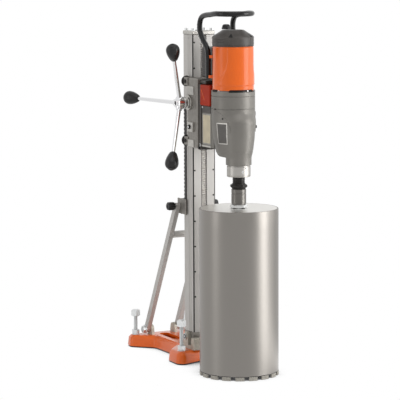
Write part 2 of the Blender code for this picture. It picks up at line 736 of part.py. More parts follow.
def make_column():
    """The extruded column with its shoe, top plate, rack and brace rails, on the tilt axis."""
    middle = (COLUMN_BOTTOM_Z + COLUMN_TOP_Z) / 2
    column = plate("column", [column_outline(), cavity_outline()], COLUMN_LENGTH, (0, 0, middle), ANODISED)
    rack = plate("feed_rack", [rack_outline()], RACK_WIDTH, (0, 0, 0), STEEL, ALONG_X)
    rails = []
    for side, sign in (("left", -1), ("right", 1)):
        x = sign * (COLUMN_HALF + GAP + RAIL_THICKNESS / 2)
        rails.append(plate(f"brace_rail_{side}", [rail_outline()], RAIL_THICKNESS, (x, 0, 0), BLACK_STEEL, ALONG_X))
    low = COLUMN_TOP_Z + GAP
    out = TOP_PLATE_OVERHANG
    top_plate = box(
        "top_plate",
        (-COLUMN_HALF - out, COLUMN_FRONT_Y - out, low),
        (COLUMN_HALF + out, COLUMN_REAR_Y + out, low + TOP_PLATE_HEIGHT),
        GREY_CAST,
        edge=0.002,
    )
    spigot_middle = low - SPIGOT_DEPTH / 2 + 0.001
    join(top_plate, plate("top_spigot", [cavity_outline(2 * GAP)], SPIGOT_DEPTH + 0.002, (0, 0, spigot_middle)))
    bolt_low = low + TOP_PLATE_HEIGHT + GAP
    bolt = rod(
        "top_bolt", (0, 0, bolt_low), (0, 0, bolt_low + TOP_BOLT_HEIGHT), TOP_BOLT_RADIUS, ZINC, sides=SMALL_SIDES
    )
    washer = rod("top_bolt_washer", (0, 0, bolt_low), (0, 0, bolt_low + 0.003), TOP_BOLT_RADIUS * 1.6, sides=SMALL_SIDES)
    join(bolt, washer)
    shoe = make_shoe()
    joint("tilt_axis", (0, TILT_Y, TILT_Z), column, rack, *rails, top_plate, bolt, shoe)


def make_shoe():
    """The knuckle under the column, which turns on the tilt pin."""
    half = COLUMN_HALF - GAP
    top = TILT_Z + SHOE_RISE
    shoe = box(
        "column_shoe",
        (-half, COLUMN_FRONT_Y, top - SHOE_PLATE),
        (half, COLUMN_REAR_Y, top),
        BARE_CAST,
    )
    # The nose's lower corner turns past the foot's stop, so its reach from the pin is less than the stop's.
    stop_reach = TILT_Y - (COLUMN_FRONT_Y - SLIDE_CLEARANCE)
    nose_reach = sqrt((stop_reach - GAP) ** 2 - SHOE_NOSE_DROP**2)
    nose = box("shoe_nose", (-half, TILT_Y - nose_reach, TILT_Z - SHOE_NOSE_DROP), (half, TILT_Y, top - 0.002))
    knuckle = rod("shoe_knuckle", (-half, TILT_Y, TILT_Z), (half, TILT_Y, TILT_Z), SHOE_KNUCKLE_RADIUS)
    plug = plate("shoe_spigot", [cavity_outline(2 * GAP)], SPIGOT_DEPTH + 0.002, (0, 0, top + SPIGOT_DEPTH / 2 - 0.001))
    bore = rod("shoe_bore", (-0.06, TILT_Y, TILT_Z), (0.06, TILT_Y, TILT_Z), TILT_PIN_RADIUS + GAP, sides=20)
    return cut(join(shoe, nose, knuckle, plug), bore)


# ---------------------------------------------------------------- braces


def make_slide():
    """The saddle behind the column that the braces' upper ends clamp to."""
    low, high = LEG_HEAD_Z - SLIDE_HEIGHT / 2, LEG_HEAD_Z + SLIDE_HEIGHT / 2
    slide = box(
        "brace_slide",
        (-CHEEK_OUT, COLUMN_REAR_Y + SLIDE_CLEARANCE, low),
        (CHEEK_OUT, COLUMN_REAR_Y + SLIDE_CLEARANCE + SLIDE_BACK, high),
        BARE_CAST,
    )
    for side, sign in (("left", -1), ("right", 1)):
        near, far = sorted((sign * CHEEK_IN, sign * CHEEK_OUT))
        cheek = box(f"slide_cheek_{side}", (near, SLIDE_FRONT_Y, low + 0.0005), (far, SLIDE_REAR_Y, high - 0.0005), edge=0.001)
        join(slide, cheek)
    joint("brace_slide_axis", (0, COLUMN_REAR_Y, LEG_HEAD_Z), slide)


def make_braces():
    """The two legs and their crossbar on the lower pivot, with the clamp knobs at the upper one."""
    rise, run = LEG_HEAD_Z - LEG_FOOT_Z, LEG_HEAD_Y - LEG_FOOT_Y
    length = hypot(rise, run)
    lean = atan2(-run, rise)
    along = Vector((0, run / length, rise / length))
    foot = Vector((0, LEG_FOOT_Y, LEG_FOOT_Z))
    head = foot + along * length
    frame = []
    for side, sign in (("left", -1), ("right", 1)):
        x = sign * (LEG_IN + LEG_OUT) / 2
        half, radius = LEG_WIDTH / 2, LEG_DEPTH / 2
        outline = arc((0, 0), radius, 180, 360, 9) + arc((0, length), radius, 0, 180, 9)
        leg = plate(f"brace_leg_{side}", [outline], LEG_WIDTH, (x, LEG_FOOT_Y, LEG_FOOT_Z), ANODISED, ALONG_X)
        leg.rotation_euler = (Matrix.Rotation(lean, 3, "X") @ Matrix(((0, 0, 1), (1, 0, 0), (0, 1, 0)))).to_euler()
        for end, centre in (("foot", foot), ("head", head)):
            start = centre + Vector((x - half - 0.01, 0, 0))
            stop = centre + Vector((x + half + 0.01, 0, 0))
            cut(leg, rod(f"leg_{end}_bore_{side}", start, stop, BRACE_PIN_RADIUS + GAP, sides=16))
        frame.append(leg)
        make_pivot_bolt(side, sign)
        make_clamp_knob(side, sign, head)
    bar_centre = head - along * CROSSBAR_DISTANCE
    bar_end = Vector((LEG_IN - GAP, 0, 0))
    bar = rod("brace_crossbar", bar_centre - bar_end, bar_centre + bar_end, CROSSBAR_RADIUS, ANODISED, sides=20)
    joint("brace_axis", tuple(foot), *frame, bar)


def make_pivot_bolt(side, sign):
    """The bolt through a leg's lower end and the lug of the base."""
    inner = sign * (LEG_IN - LUG_THICKNESS)
    outer = sign * (LEG_OUT + GAP)
    nut_end = sign * (LEG_OUT + GAP + BRACE_NUT_THICKNESS)
    bolt = rod(
        f"brace_pivot_bolt_{side}",
        (inner, LEG_FOOT_Y, LEG_FOOT_Z),
        (nut_end, LEG_FOOT_Y, LEG_FOOT_Z),
        BRACE_PIN_RADIUS,
        ZINC,
        sides=16,
    )
    nut = rod(f"pivot_nut_{side}", (outer, LEG_FOOT_Y, LEG_FOOT_Z), (nut_end, LEG_FOOT_Y, LEG_FOOT_Z), BRACE_NUT_RADIUS, sides=6)
    join(bolt, nut)


def make_clamp_knob(side, sign, head):
    """A clamp knob on its stud. The stud ends just short of the slide's cheek."""
    inner = sign * (CHEEK_OUT + GAP)
    start = sign * (LEG_OUT + KNOB_STANDOFF)
    knob = turned(
        f"brace_knob_{side}",
        solid_profile([(KNOB_RADIUS * 0.8, KNOB_LENGTH), (KNOB_RADIUS, KNOB_LENGTH - 0.003), (KNOB_RADIUS, 0.003), (0.009, 0)]),
        (start, head.y, head.z),
        BLACK_PLASTIC,
        ALONG_X if sign > 0 else TO_LEFT,
        sides=20,
    )
    stud = rod(f"knob_stud_{side}", (inner, head.y, head.z), (start + sign * 0.005, head.y, head.z), BRACE_PIN_RADIUS, sides=16)
    join(knob, stud)
    joint(f"brace_knob_{side}_axis", (start, head.y, head.z), knob)


# ---------------------------------------------------------------- carriage


def make_carriage():
    """The carriage body with its roller ears, crank bore and lock bore."""
    body = box(
        "carriage_body",
        (-CARRIAGE_HALF, CARRIAGE_FRONT_Y, CARRIAGE_LOW_Z),
        (CARRIAGE_HALF, CARRIAGE_REAR_Y, CARRIAGE_TOP_Z),
        BARE_CAST,
        edge=0.003,
    )
    for level, z in (("upper", UPPER_ROLLER_Z), ("lower", LOWER_ROLLER_Z)):
        for side, sign in (("left", -1), ("right", 1)):
            make_ear(body, f"{level}_{side}", sign, z)
    pinion_radius = FEED_MODULE * (PINION_TEETH / 2 + 1)
    half = RACK_WIDTH / 2 + 0.003
    window = rod("pinion_space", (-half, CRANK_Y, CRANK_Z), (half, CRANK_Y, CRANK_Z), pinion_radius + 0.002)
    shaft_bore = rod("shaft_bore", (-0.05, CRANK_Y, CRANK_Z), (0.046, CRANK_Y, CRANK_Z), CRANK_SHAFT_RADIUS + RUNNING)
    bush_bore = rod(
        "bush_bore",
        (-CARRIAGE_HALF - 0.01, CRANK_Y, CRANK_Z),
        (-CARRIAGE_HALF + BUSH_SLEEVE + GAP, CRANK_Y, CRANK_Z),
        BUSH_SLEEVE_RADIUS + GAP,
    )
    lock_bore = rod(
        "lock_bore",
        (-CARRIAGE_HALF - 0.01, LOCK_Y, LOCK_RISE + CARRIAGE_LOW_Z),
        (-CARRIAGE_HALF + LOCK_LENGTH, LOCK_Y, LOCK_RISE + CARRIAGE_LOW_Z),
        LOCK_RADIUS + RUNNING,
        sides=20,
    )
    cut(body, window, shaft_bore, bush_bore, lock_bore)
    return body


def make_ear(body, name, sign, z):
    """An ear behind the carriage's wall, with the axle and head that hold a roller."""
    near, far = sorted((sign * (COLUMN_HALF + 0.0015), sign * EAR_OUT))
    face_y = GROOVE_Y - ROLLER_HALF_WIDTH - SLIDE_CLEARANCE
    ear = box(
        f"ear_{name}",
        (near, CARRIAGE_REAR_Y - 0.008, z - EAR_HEIGHT / 2),
        (far, face_y, z + EAR_HEIGHT / 2),
    )
    rear_y = GROOVE_Y + ROLLER_HALF_WIDTH + SLIDE_CLEARANCE
    x = sign * ROLLER_X
    axle = rod(f"axle_{name}", (x, face_y - 0.003, z), (x, rear_y + 0.001, z), AXLE_RADIUS, sides=16)
    head = rod(f"axle_head_{name}", (x, rear_y, z), (x, rear_y + AXLE_HEAD, z), AXLE_HEAD_RADIUS, sides=16)
    join(body, ear, axle, head)


def make_rollers():
    """Four rollers whose rims run in the column's grooves, each on its own axle."""
    wide, narrow = ROLLER_HALF_WIDTH, 0.0012
    shoulder = ROLLER_RADIUS - ROLLER_SINK - 0.001
    bore = AXLE_RADIUS + RUNNING
    profile = [
        (bore, wide),
        (shoulder, wide),
        (ROLLER_RADIUS - GAP, narrow),
        (ROLLER_RADIUS - GAP, -narrow),
        (shoulder, -wide),
        (bore, -wide),
    ]
    for level, z in (("upper", UPPER_ROLLER_Z), ("lower", LOWER_ROLLER_Z)):
        for side, sign in (("left", -1), ("right", 1)):
            place = (sign * ROLLER_X, GROOVE_Y, z)
            roller = turned(f"roller_{level}_{side}", profile, place, BLACK_STEEL, ALONG_Y, 16, loop=True)
            joint(f"roller_{level}_{side}_axis", place, roller)


def make_lock():
    """The spring button that locks the feed."""
    z = LOCK_RISE + CARRIAGE_LOW_Z
    tip, face = -CARRIAGE_HALF + LOCK_LENGTH - 0.008, -CARRIAGE_HALF - LOCK_STANDOUT
    lock = rod("feed_lock", (tip, LOCK_Y, z), (face, LOCK_Y, z), LOCK_RADIUS, BLACK_PLASTIC, sides=20)
    bevel(lock, 0.0012)
    joint("feed_lock_axis", (-CARRIAGE_HALF, LOCK_Y, z), lock)


def make_mount_plate():
    """The quick mount plate with its hook bar below the carriage, and the clamp above it."""
    mount_plate = box(
        "mount_plate",
        (-PLATE_HALF, PLATE_FRONT_Y, PLATE_LOW_Z - 0.017),
        (PLATE_HALF, PLATE_REAR_Y, PLATE_TOP_Z),
        DARK_PLASTIC,
        edge=0.0015,
    )
    hook_z = CARRIAGE_LOW_Z - HOOK_DROP
    for side, sign in (("left", -1), ("right", 1)):
        near, far = sorted((sign * (PLATE_HALF - 0.010), sign * PLATE_HALF))
        top = CARRIAGE_LOW_Z - 2 * GAP
        ear = box(f"hook_ear_{side}", (near, PLATE_REAR_Y - 0.004, hook_z - 0.008), (far, HOOK_Y, top))
        join(mount_plate, ear)
    bar = rod("hook_bar", (-PLATE_HALF - 0.004, HOOK_Y, hook_z), (PLATE_HALF + 0.004, HOOK_Y, hook_z), HOOK_RADIUS, sides=16)
    join(mount_plate, bar)
    low = PLATE_TOP_Z + GAP
    box(
        "mount_clamp",
        (-CLAMP_HALF, PLATE_REAR_Y - CLAMP_DEPTH, low),
        (CLAMP_HALF, PLATE_REAR_Y, low + CLAMP_HEIGHT),
        DARK_PLASTIC,
        edge=0.002,
    )


# ---------------------------------------------------------------- crank


def knob_profile():
    """A pear knob: its narrow end on the spoke, at height 0."""
    neck = 0.0085
    widest = PEAR_LENGTH * 0.66
    points = []
    for index in range(5):
        angle = pi / 2 * index / 4
        points.append((PEAR_RADIUS * sin(angle), widest + (PEAR_LENGTH - widest) * cos(angle)))
    for share in (0.65, 0.25):
        radius = neck + (PEAR_RADIUS - neck) * sin(share * pi / 2) ** 0.9
        points.append((radius, widest * share))
    socket = SPOKE_TIP_RADIUS + GAP
    return [*points, (neck, 0), (socket, 0), (socket, KNOB_SOCKET), (0, KNOB_SOCKET)]


def make_crank():
    """The pinion shaft, its bush, the hub and three spokes with knobs."""
    pinion_phase = 0.0
    half = RACK_WIDTH / 2
    pinion = plate(
        "pinion", [gear_outline(PINION_TEETH, FEED_MODULE, pinion_phase)], RACK_WIDTH, (0, CRANK_Y, CRANK_Z), None, ALONG_X
    )
    shaft_end = -CRANK_HUB_IN_X - HUB_LENGTH_X * 0.75
    shaft = rod("pinion_shaft", (0.045, CRANK_Y, CRANK_Z), (shaft_end, CRANK_Y, CRANK_Z), CRANK_SHAFT_RADIUS, STEEL, sides=24)
    join(shaft, pinion)
    bore = CRANK_SHAFT_RADIUS + RUNNING
    sleeve_end = BUSH_SLEEVE - half
    bush_profile = [
        (bore, BUSH_FLANGE),
        (BUSH_RADIUS - 0.002, BUSH_FLANGE),
        (BUSH_RADIUS, BUSH_FLANGE - 0.002),
        (BUSH_RADIUS, 0),
        (BUSH_SLEEVE_RADIUS, 0),
        (BUSH_SLEEVE_RADIUS, -sleeve_end),
        (bore, -sleeve_end),
    ]
    turned("shaft_bush", bush_profile, (-CARRIAGE_HALF - GAP, CRANK_Y, CRANK_Z), BARE_CAST, TO_LEFT, loop=True)
    socket = CRANK_SHAFT_RADIUS + GAP
    depth = HUB_LENGTH_X * 0.75 + GAP
    hub_profile = [
        (0, HUB_LENGTH_X),
        (CRANK_HUB_RADIUS - 0.004, HUB_LENGTH_X),
        (CRANK_HUB_RADIUS, HUB_LENGTH_X - 0.003),
        (CRANK_HUB_RADIUS, 0.002),
        (CRANK_HUB_RADIUS - 0.002, 0),
        (socket, 0),
        (socket, depth),
        (0, depth),
    ]
    hub = turned("crank_hub", hub_profile, (-CRANK_HUB_IN_X, CRANK_Y, CRANK_Z), CHROME, TO_LEFT)
    centre = Vector((-CRANK_HUB_MID_X, CRANK_Y, CRANK_Z))
    carried = [shaft, hub]
    for index in range(SPOKE_COUNT):
        carried += make_spoke(index + 1, hub, centre, SPOKE_START + index * 2 * pi / SPOKE_COUNT)
    joint("crank_axis", (0, CRANK_Y, CRANK_Z), *carried)


def make_spoke(number, hub, centre, angle):
    """One spoke in its socket in the hub, and the knob at its end."""
    radial = Vector((0, sin(angle), cos(angle)))
    direction = radial * cos(SPOKE_CONE) + Vector((-1, 0, 0)) * sin(SPOKE_CONE)
    start = centre + direction * (SPOKE_SOCKET / cos(SPOKE_CONE) + GAP)
    knob_start = SPOKE_REACH - PEAR_LENGTH
    end = centre + direction * (knob_start + KNOB_SOCKET - GAP)
    spoke = rod(f"crank_spoke_{number}", start, end, SPOKE_RADIUS, CHROME, SPOKE_TIP_RADIUS, sides=16)
    socket_start = centre + direction * SPOKE_SOCKET / cos(SPOKE_CONE)
    socket = rod(f"spoke_socket_{number}", socket_start, centre + direction * 0.05, SPOKE_RADIUS + 2 * GAP, sides=16)
    cut(hub, socket)
    turn = direction.to_track_quat("Z", "Y").to_euler()
    knob = turned(f"crank_knob_{number}", knob_profile(), centre + direction * knob_start, BLACK_PLASTIC, turn, 16)
    return [spoke, knob]


# ---------------------------------------------------------------- gear housing and motor


def body_profile(extra=0.0):
    """The housing's main body about the armature's axis, as heights above its lower end."""
    r = HOUSING_RADIUS + extra
    return solid_profile(
        [
            (r, HOUSING_HEIGHT),
            (r, HOUSING_HEIGHT - 0.085),
            (r - 0.004, 0.075),
            (r - 0.0125, 0.034),
            (r - 0.020, 0.0215 - extra),
        ]
    )


def boss_profile(extra=0.0):
    """The housing's boss about the spindle's axis, down to the collar."""
    neck = HOUSING_NECK_RADIUS + extra
    return solid_profile(
        [
            (neck - 0.008, 0.148),
            (neck + 0.0105, 0.119),
            (neck + 0.009, 0.075),
            (neck + 0.004, 0.036),
            (neck, 0.021),
            (neck, 0),
        ]
    )


def make_housing():
    """The gear housing: a hollow body and boss, open at the top, bored for the shafts."""
    at_motor, at_spindle = (0, MOTOR_Y, HOUSING_LOW_Z), (0, SPINDLE_Y, HOUSING_LOW_Z)
    housing = turned("gear_housing", body_profile(), at_motor, GREY_CAST, sides=FINE_SIDES)
    boss = turned("housing_boss", boss_profile(), at_spindle, sides=FINE_SIDES)
    space = rod(
        "gear_space",
        (0, MOTOR_Y, GEAR_FLOOR_Z),
        (0, MOTOR_Y, HOUSING_TOP_Z + 0.01),
        HOUSING_RADIUS - HOUSING_WALL,
        sides=FINE_SIDES,
    )
    bore = rod(
        "spindle_bore",
        (0, SPINDLE_Y, HOUSING_LOW_Z - 0.01),
        (0, SPINDLE_Y, GEAR_FLOOR_Z + 0.01),
        SPINDLE_RADIUS + RUNNING,
    )
    seat = rod(
        "layshaft_seat",
        (LAYSHAFT_X, LAYSHAFT_Y, GEAR_FLOOR_Z - 0.009),
        (LAYSHAFT_X, LAYSHAFT_Y, GEAR_FLOOR_Z + 0.01),
        SHAFT_RADIUS + RUNNING,
        sides=20,
    )
    cut(join(housing, boss), space, bore, seat)


def make_bearing_plate():
    """The plate between the gear space and the motor, which carries the armature and the layshaft."""
    spigot = HOUSING_RADIUS - HOUSING_WALL - GAP
    flange = HOUSING_RADIUS - HOUSING_WALL + 0.0005
    thickness = BEARING_PLATE_SPIGOT + GAP + BEARING_PLATE_FLANGE
    profile = solid_profile(
        [
            (flange + 0.001, thickness),
            (flange + 0.001, BEARING_PLATE_SPIGOT + GAP),
            (spigot, BEARING_PLATE_SPIGOT + GAP),
            (spigot, 0),
        ]
    )
    low = HOUSING_TOP_Z - BEARING_PLATE_SPIGOT
    bearing_plate = turned("bearing_plate", profile, (0, MOTOR_Y, low), BARE_CAST, sides=FINE_SIDES)
    for name, x, y in (("armature", 0, MOTOR_Y), ("layshaft", LAYSHAFT_X, LAYSHAFT_Y)):
        hole = rod(f"{name}_hole", (x, y, low - 0.01), (x, y, low + 0.03), SHAFT_RADIUS + RUNNING, sides=20)
        cut(bearing_plate, hole)


def make_bracket():
    """The rear bracket that bolts the housing to the mount plate, and its cover."""
    clearance = turned("housing_clearance", body_profile(GAP), (0, MOTOR_Y, HOUSING_LOW_Z), sides=FINE_SIDES)
    boss_clearance = turned("boss_clearance", boss_profile(GAP), (0, SPINDLE_Y, HOUSING_LOW_Z), sides=FINE_SIDES)
    rear = PLATE_FRONT_Y - GAP
    front = MOTOR_Y + HOUSING_RADIUS * 0.45
    bracket = box(
        "motor_bracket", (-BRACKET_HALF, front, CARRIAGE_LOW_Z), (BRACKET_HALF, rear, BRACKET_TOP_Z), GREY_CAST, edge=0.002
    )
    cut(bracket, clearance, boss_clearance)
    cover = box(
        "bracket_cover",
        (-BRACKET_COVER_HALF, MOTOR_Y + HOUSING_RADIUS * 0.65, BRACKET_TOP_Z + GAP),
        (BRACKET_COVER_HALF, rear, PLATE_TOP_Z - GAP),
        ORANGE,
        edge=0.002,
    )
    space = rod(
        "bracket_cover_space",
        (0, MOTOR_Y, BRACKET_TOP_Z - 0.01),
        (0, MOTOR_Y, PLATE_TOP_Z + 0.01),
        HOUSING_RADIUS + GAP,
        sides=FINE_SIDES,
    )
    cut(cover, space)


def make_motor_cover():
    """The motor's cover: an open tube with four lugs behind it that hold the handle."""
    cover = rod("motor_cover", (0, MOTOR_Y, COVER_LOW_Z), (0, MOTOR_Y, COVER_TOP_Z), COVER_RADIUS, ORANGE, sides=FINE_SIDES)
    outer = HANDLE_HALF + HANDLE_RADIUS + 0.003
    front_y = MOTOR_Y + HANDLE_BACK - 0.0165
    for side, sign in (("left", -1), ("right", 1)):
        near, far = sorted((sign * (ELECTRONICS_HALF + GAP), sign * outer))
        for level, rise in enumerate(LUG_RISES):
            low = COVER_LOW_Z + rise - LUG_HEIGHT / 2
            lug = box(f"cover_lug_{side}_{level}", (near, front_y, low), (far, HANDLE_LEG_Y + 0.0105, low + LUG_HEIGHT))
            join(cover, lug)
        x = sign * HANDLE_HALF
        hole = rod(
            f"handle_hole_{side}", (x, HANDLE_LEG_Y, COVER_LOW_Z), (x, HANDLE_LEG_Y, COVER_TOP_Z), HANDLE_RADIUS + GAP, sides=24
        )
        cut(cover, hole)
    inside = rod(
        "cover_inside",
        (0, MOTOR_Y, COVER_LOW_Z - 0.01),
        (0, MOTOR_Y, COVER_TOP_Z + 0.01),
        COVER_RADIUS - COVER_WALL,
        sides=FINE_SIDES,
    )
    cut(cover, inside)


def make_cap():
    """The top cap, hollow, with a boss inside for the armature's upper end and a pad for the gland."""
    inner = CAP_RADIUS - CAP_WALL
    profile = [
        (0, CAP_HEIGHT),
        (CAP_FLAT_RADIUS, CAP_HEIGHT),
        (CAP_RADIUS, CAP_SIDE),
        (CAP_RADIUS, 0),
        (inner, 0),
        (inner, CAP_SIDE - CAP_WALL / 2),
        (CAP_FLAT_RADIUS - CAP_WALL / 2, CAP_HEIGHT - CAP_WALL),
        (0, CAP_HEIGHT - CAP_WALL),
    ]
    cap = turned("top_cap", profile, (0, MOTOR_Y, CAP_LOW_Z), DARK_PLASTIC, sides=FINE_SIDES)
    boss_low = CAP_LOW_Z - 0.010
    boss = rod("cap_boss", (0, MOTOR_Y, boss_low), (0, MOTOR_Y, CAP_TOP_Z - 0.001), CAP_BOSS_RADIUS, sides=24)
    gland_y = MOTOR_Y + GLAND_BACK
    pad = rod("gland_pad", (0, gland_y, CAP_TOP_Z - 0.020), (0, gland_y, CAP_TOP_Z), GLAND_RADIUS + 0.001, sides=24)
    bore = rod("cap_bore", (0, MOTOR_Y, boss_low - 0.01), (0, MOTOR_Y, boss_low + 0.009), SHAFT_RADIUS + RUNNING, sides=20)
    cut(join(cap, boss, pad), bore)
    low = CAP_TOP_Z + GAP
    gland = rod("cable_gland", (0, gland_y, low), (0, gland_y, low + GLAND_HEIGHT), GLAND_RADIUS, BLACK_PLASTIC, 0.009, sides=20)
    bevel(gland, 0.0015)


def make_electronics():
    """The electronics housing behind the motor cover."""
    low = COVER_LOW_Z + ELECTRONICS_LOW
    electronics = box(
        "electronics_housing",
        (-ELECTRONICS_HALF, MOTOR_Y + COVER_RADIUS * 0.72, low),
        (ELECTRONICS_HALF, ELECTRONICS_REAR_Y, low + ELECTRONICS_HEIGHT),
        DARK_PLASTIC,
        edge=0.003,
    )
    clearance = rod(
        "cover_clearance",
        (0, MOTOR_Y, COVER_LOW_Z - 0.01),
        (0, MOTOR_Y, COVER_TOP_Z + 0.01),
        COVER_RADIUS + GAP,
        sides=FINE_SIDES,
    )
    cut(electronics, clearance)


def handle_path():
    """The handle's centre line: up one side, round the front loop and down the other side."""
    top, base = HANDLE_TOP_Z, HANDLE_LEG_Y
    side = [
        (base, HANDLE_FOOT_Z),
        (base, COVER_TOP_Z - 0.026),
        (base + 0.003, COVER_TOP_Z - 0.013),
        (base + 0.014, COVER_TOP_Z + 0.001),
        (base + 0.034, COVER_TOP_Z + 0.019),
        (base + 0.046, COVER_TOP_Z + 0.034),
        (base + 0.050, COVER_TOP_Z + 0.050),
        (base + 0.047, COVER_TOP_Z + 0.067),
        (base + 0.037, COVER_TOP_Z + 0.078),
        (base + 0.018, COVER_TOP_Z + 0.0835),
        (base - 0.012, COVER_TOP_Z + 0.0865),
    ]
    left = [(-HANDLE_HALF, y, z) for y, z in side]
    right = [(HANDLE_HALF, y, z) for y, z in reversed(side)]
    loop = [(x, y, top) for x, y in arc((0, MOTOR_Y), HANDLE_HALF, 180, 360, 9)]
    return left + loop + right


def make_handle():
    """The tubular carrying handle."""
    curve = bpy.data.curves.new("handle", "CURVE")
    curve.dimensions = "3D"
    curve.bevel_depth = HANDLE_RADIUS
    curve.bevel_resolution = 2
    curve.use_fill_caps = True
    spline = curve.splines.new("POLY")
    path = handle_path()
    spline.points.add(len(path) - 1)
    for point, place in zip(spline.points, path):
        point.co = (*place, 1)
    handle = bpy.data.objects.new("handle", curve)
    PARTS.objects.link(handle)
    curve.materials.append(BLACK_STEEL)


def make_motor_core():
    """The stator, and the armature with its fan, commutator and pinion."""
    outer = COVER_RADIUS - COVER_WALL - GAP
    profile = [(STATOR_BORE, STATOR_HEIGHT), (outer, STATOR_HEIGHT), (outer, 0), (STATOR_BORE, 0)]
    turned("stator", profile, (0, MOTOR_Y, STATOR_LOW_Z), COPPER, sides=FINE_SIDES, loop=True)
    core = STATOR_BORE - AIR_GAP
    pinion_top = FIRST_GEAR_Z + GEAR_WIDTH
    neck = FIRST_MODULE * (FIRST_PINION_TEETH / 2 - 1.25) - 0.0005
    fan_low = PLATE_FLANGE_TOP_Z + 0.001
    shaft = SHAFT_RADIUS
    profile = [
        (shaft, CAP_LOW_Z - 0.003),
        (shaft, STATOR_TOP_Z + 0.016),
        (COMMUTATOR_RADIUS, STATOR_TOP_Z + 0.016),
        (COMMUTATOR_RADIUS, STATOR_TOP_Z + 0.004),
        (shaft, STATOR_TOP_Z + 0.004),
        (shaft, STATOR_TOP_Z - 0.002),
        (core, STATOR_TOP_Z - 0.002),
        (core, STATOR_LOW_Z + 0.002),
        (shaft, STATOR_LOW_Z + 0.002),
        (shaft, fan_low + 0.007),
        (FAN_RADIUS, fan_low + 0.007),
        (FAN_RADIUS, fan_low),
        (shaft, fan_low),
        (shaft, pinion_top + 0.004),
        (neck, pinion_top + 0.004),
        (neck, FIRST_GEAR_Z - 0.001),
    ]
    armature = turned("armature", solid_profile(profile), (0, MOTOR_Y, 0), COPPER, sides=16)
    toward = atan2(LAYSHAFT_Y - MOTOR_Y, LAYSHAFT_X)
    pinion = plate(
        "first_pinion",
        [gear_outline(FIRST_PINION_TEETH, FIRST_MODULE, toward)],
        GEAR_WIDTH,
        (0, MOTOR_Y, FIRST_GEAR_Z + GEAR_WIDTH / 2),
    )
    join(armature, pinion)
    joint("armature_axis", (0, MOTOR_Y, FIRST_GEAR_Z), armature)


def make_layshaft():
    """The layshaft with the first gear and the second pinion."""
    low, high = GEAR_FLOOR_Z - 0.008, HOUSING_TOP_Z - 0.002
    place = (LAYSHAFT_X, LAYSHAFT_Y, 0)
    layshaft = rod(
        "layshaft", (LAYSHAFT_X, LAYSHAFT_Y, low), (LAYSHAFT_X, LAYSHAFT_Y, high), SHAFT_RADIUS, STEEL, sides=20
    )
    back_to_armature = atan2(MOTOR_Y - LAYSHAFT_Y, -LAYSHAFT_X)
    gear_phase = back_to_armature + pi / FIRST_GEAR_TEETH
    gear = plate(
        "first_gear",
        [gear_outline(FIRST_GEAR_TEETH, FIRST_MODULE, gear_phase)],
        GEAR_WIDTH,
        (place[0], place[1], FIRST_GEAR_Z + GEAR_WIDTH / 2),
    )
    to_spindle = atan2(SPINDLE_Y - LAYSHAFT_Y, -LAYSHAFT_X)
    pinion = plate(
        "second_pinion",
        [gear_outline(SECOND_PINION_TEETH, SECOND_MODULE, to_spindle)],
        WIDE_GEAR_WIDTH,
        (place[0], place[1], SECOND_GEAR_Z + WIDE_GEAR_WIDTH / 2),
    )
    join(layshaft, gear, pinion)
    joint("layshaft_axis", place, layshaft)


def make_spindle():
    """The spindle with its gear, and the release ring, bit hub and barrel that turn with it."""
    r, nose = SPINDLE_RADIUS, NOSE_RADIUS
    profile = [
        (0.008, SECOND_GEAR_Z + WIDE_GEAR_WIDTH + 0.003),
        (0.008, SECOND_GEAR_Z + 0.001),
        (r, SECOND_GEAR_Z + 0.001),
        (r, NOSE_TOP_Z),
        (nose, NOSE_TOP_Z),
        (nose, NOSE_LOW_Z),
        (r, NOSE_LOW_Z),
        (r, HUB_LOW_Z + 0.012),
    ]
    spindle = turned("spindle", solid_profile(profile), (0, SPINDLE_Y, 0), BLACK_STEEL, sides=24)
    to_layshaft = atan2(LAYSHAFT_Y - SPINDLE_Y, LAYSHAFT_X)
    gear_phase = to_layshaft + pi / SECOND_GEAR_TEETH
    gear = plate(
        "second_gear",
        [gear_outline(SECOND_GEAR_TEETH, SECOND_MODULE, gear_phase)],
        WIDE_GEAR_WIDTH,
        (0, SPINDLE_Y, SECOND_GEAR_Z + WIDE_GEAR_WIDTH / 2),
    )
    join(spindle, gear)
    bore = r + GAP
    ring_profile = [
        (bore, RING_HEIGHT),
        (RING_RADIUS - 0.0055, RING_HEIGHT),
        (RING_RADIUS - 0.0035, RING_HEIGHT - 0.004),
        (RING_RADIUS, RING_HEIGHT - 0.006),
        (RING_RADIUS, 0.0045),
        (RING_RADIUS - 0.006, 0.002),
        (RING_RADIUS - 0.006, 0),
        (bore, 0),
    ]
    ring = turned("release_ring", ring_profile, (0, SPINDLE_Y, RING_LOW_Z), BLACK_STEEL, loop=True)
    hub = turned(
        "bit_hub",
        [
            (bore, HUB_LENGTH),
            (HUB_RADIUS - 0.001, HUB_LENGTH),
            (HUB_RADIUS, HUB_LENGTH - 0.001),
            (HUB_RADIUS, HUB_HEX_HEIGHT - 0.001),
            (bore, HUB_HEX_HEIGHT - 0.001),
        ],
        (0, SPINDLE_Y, HUB_LOW_Z),
        STEEL,
        loop=True,
    )
    base = rod(
        "hub_hex", (0, SPINDLE_Y, HUB_LOW_Z), (0, SPINDLE_Y, HUB_LOW_Z + HUB_HEX_HEIGHT), HUB_HEX_RADIUS, sides=6
    )
    join(hub, base)
    barrel = make_barrel()
    joint("spindle_axis", (0, SPINDLE_Y, 0), spindle, ring, hub, barrel)


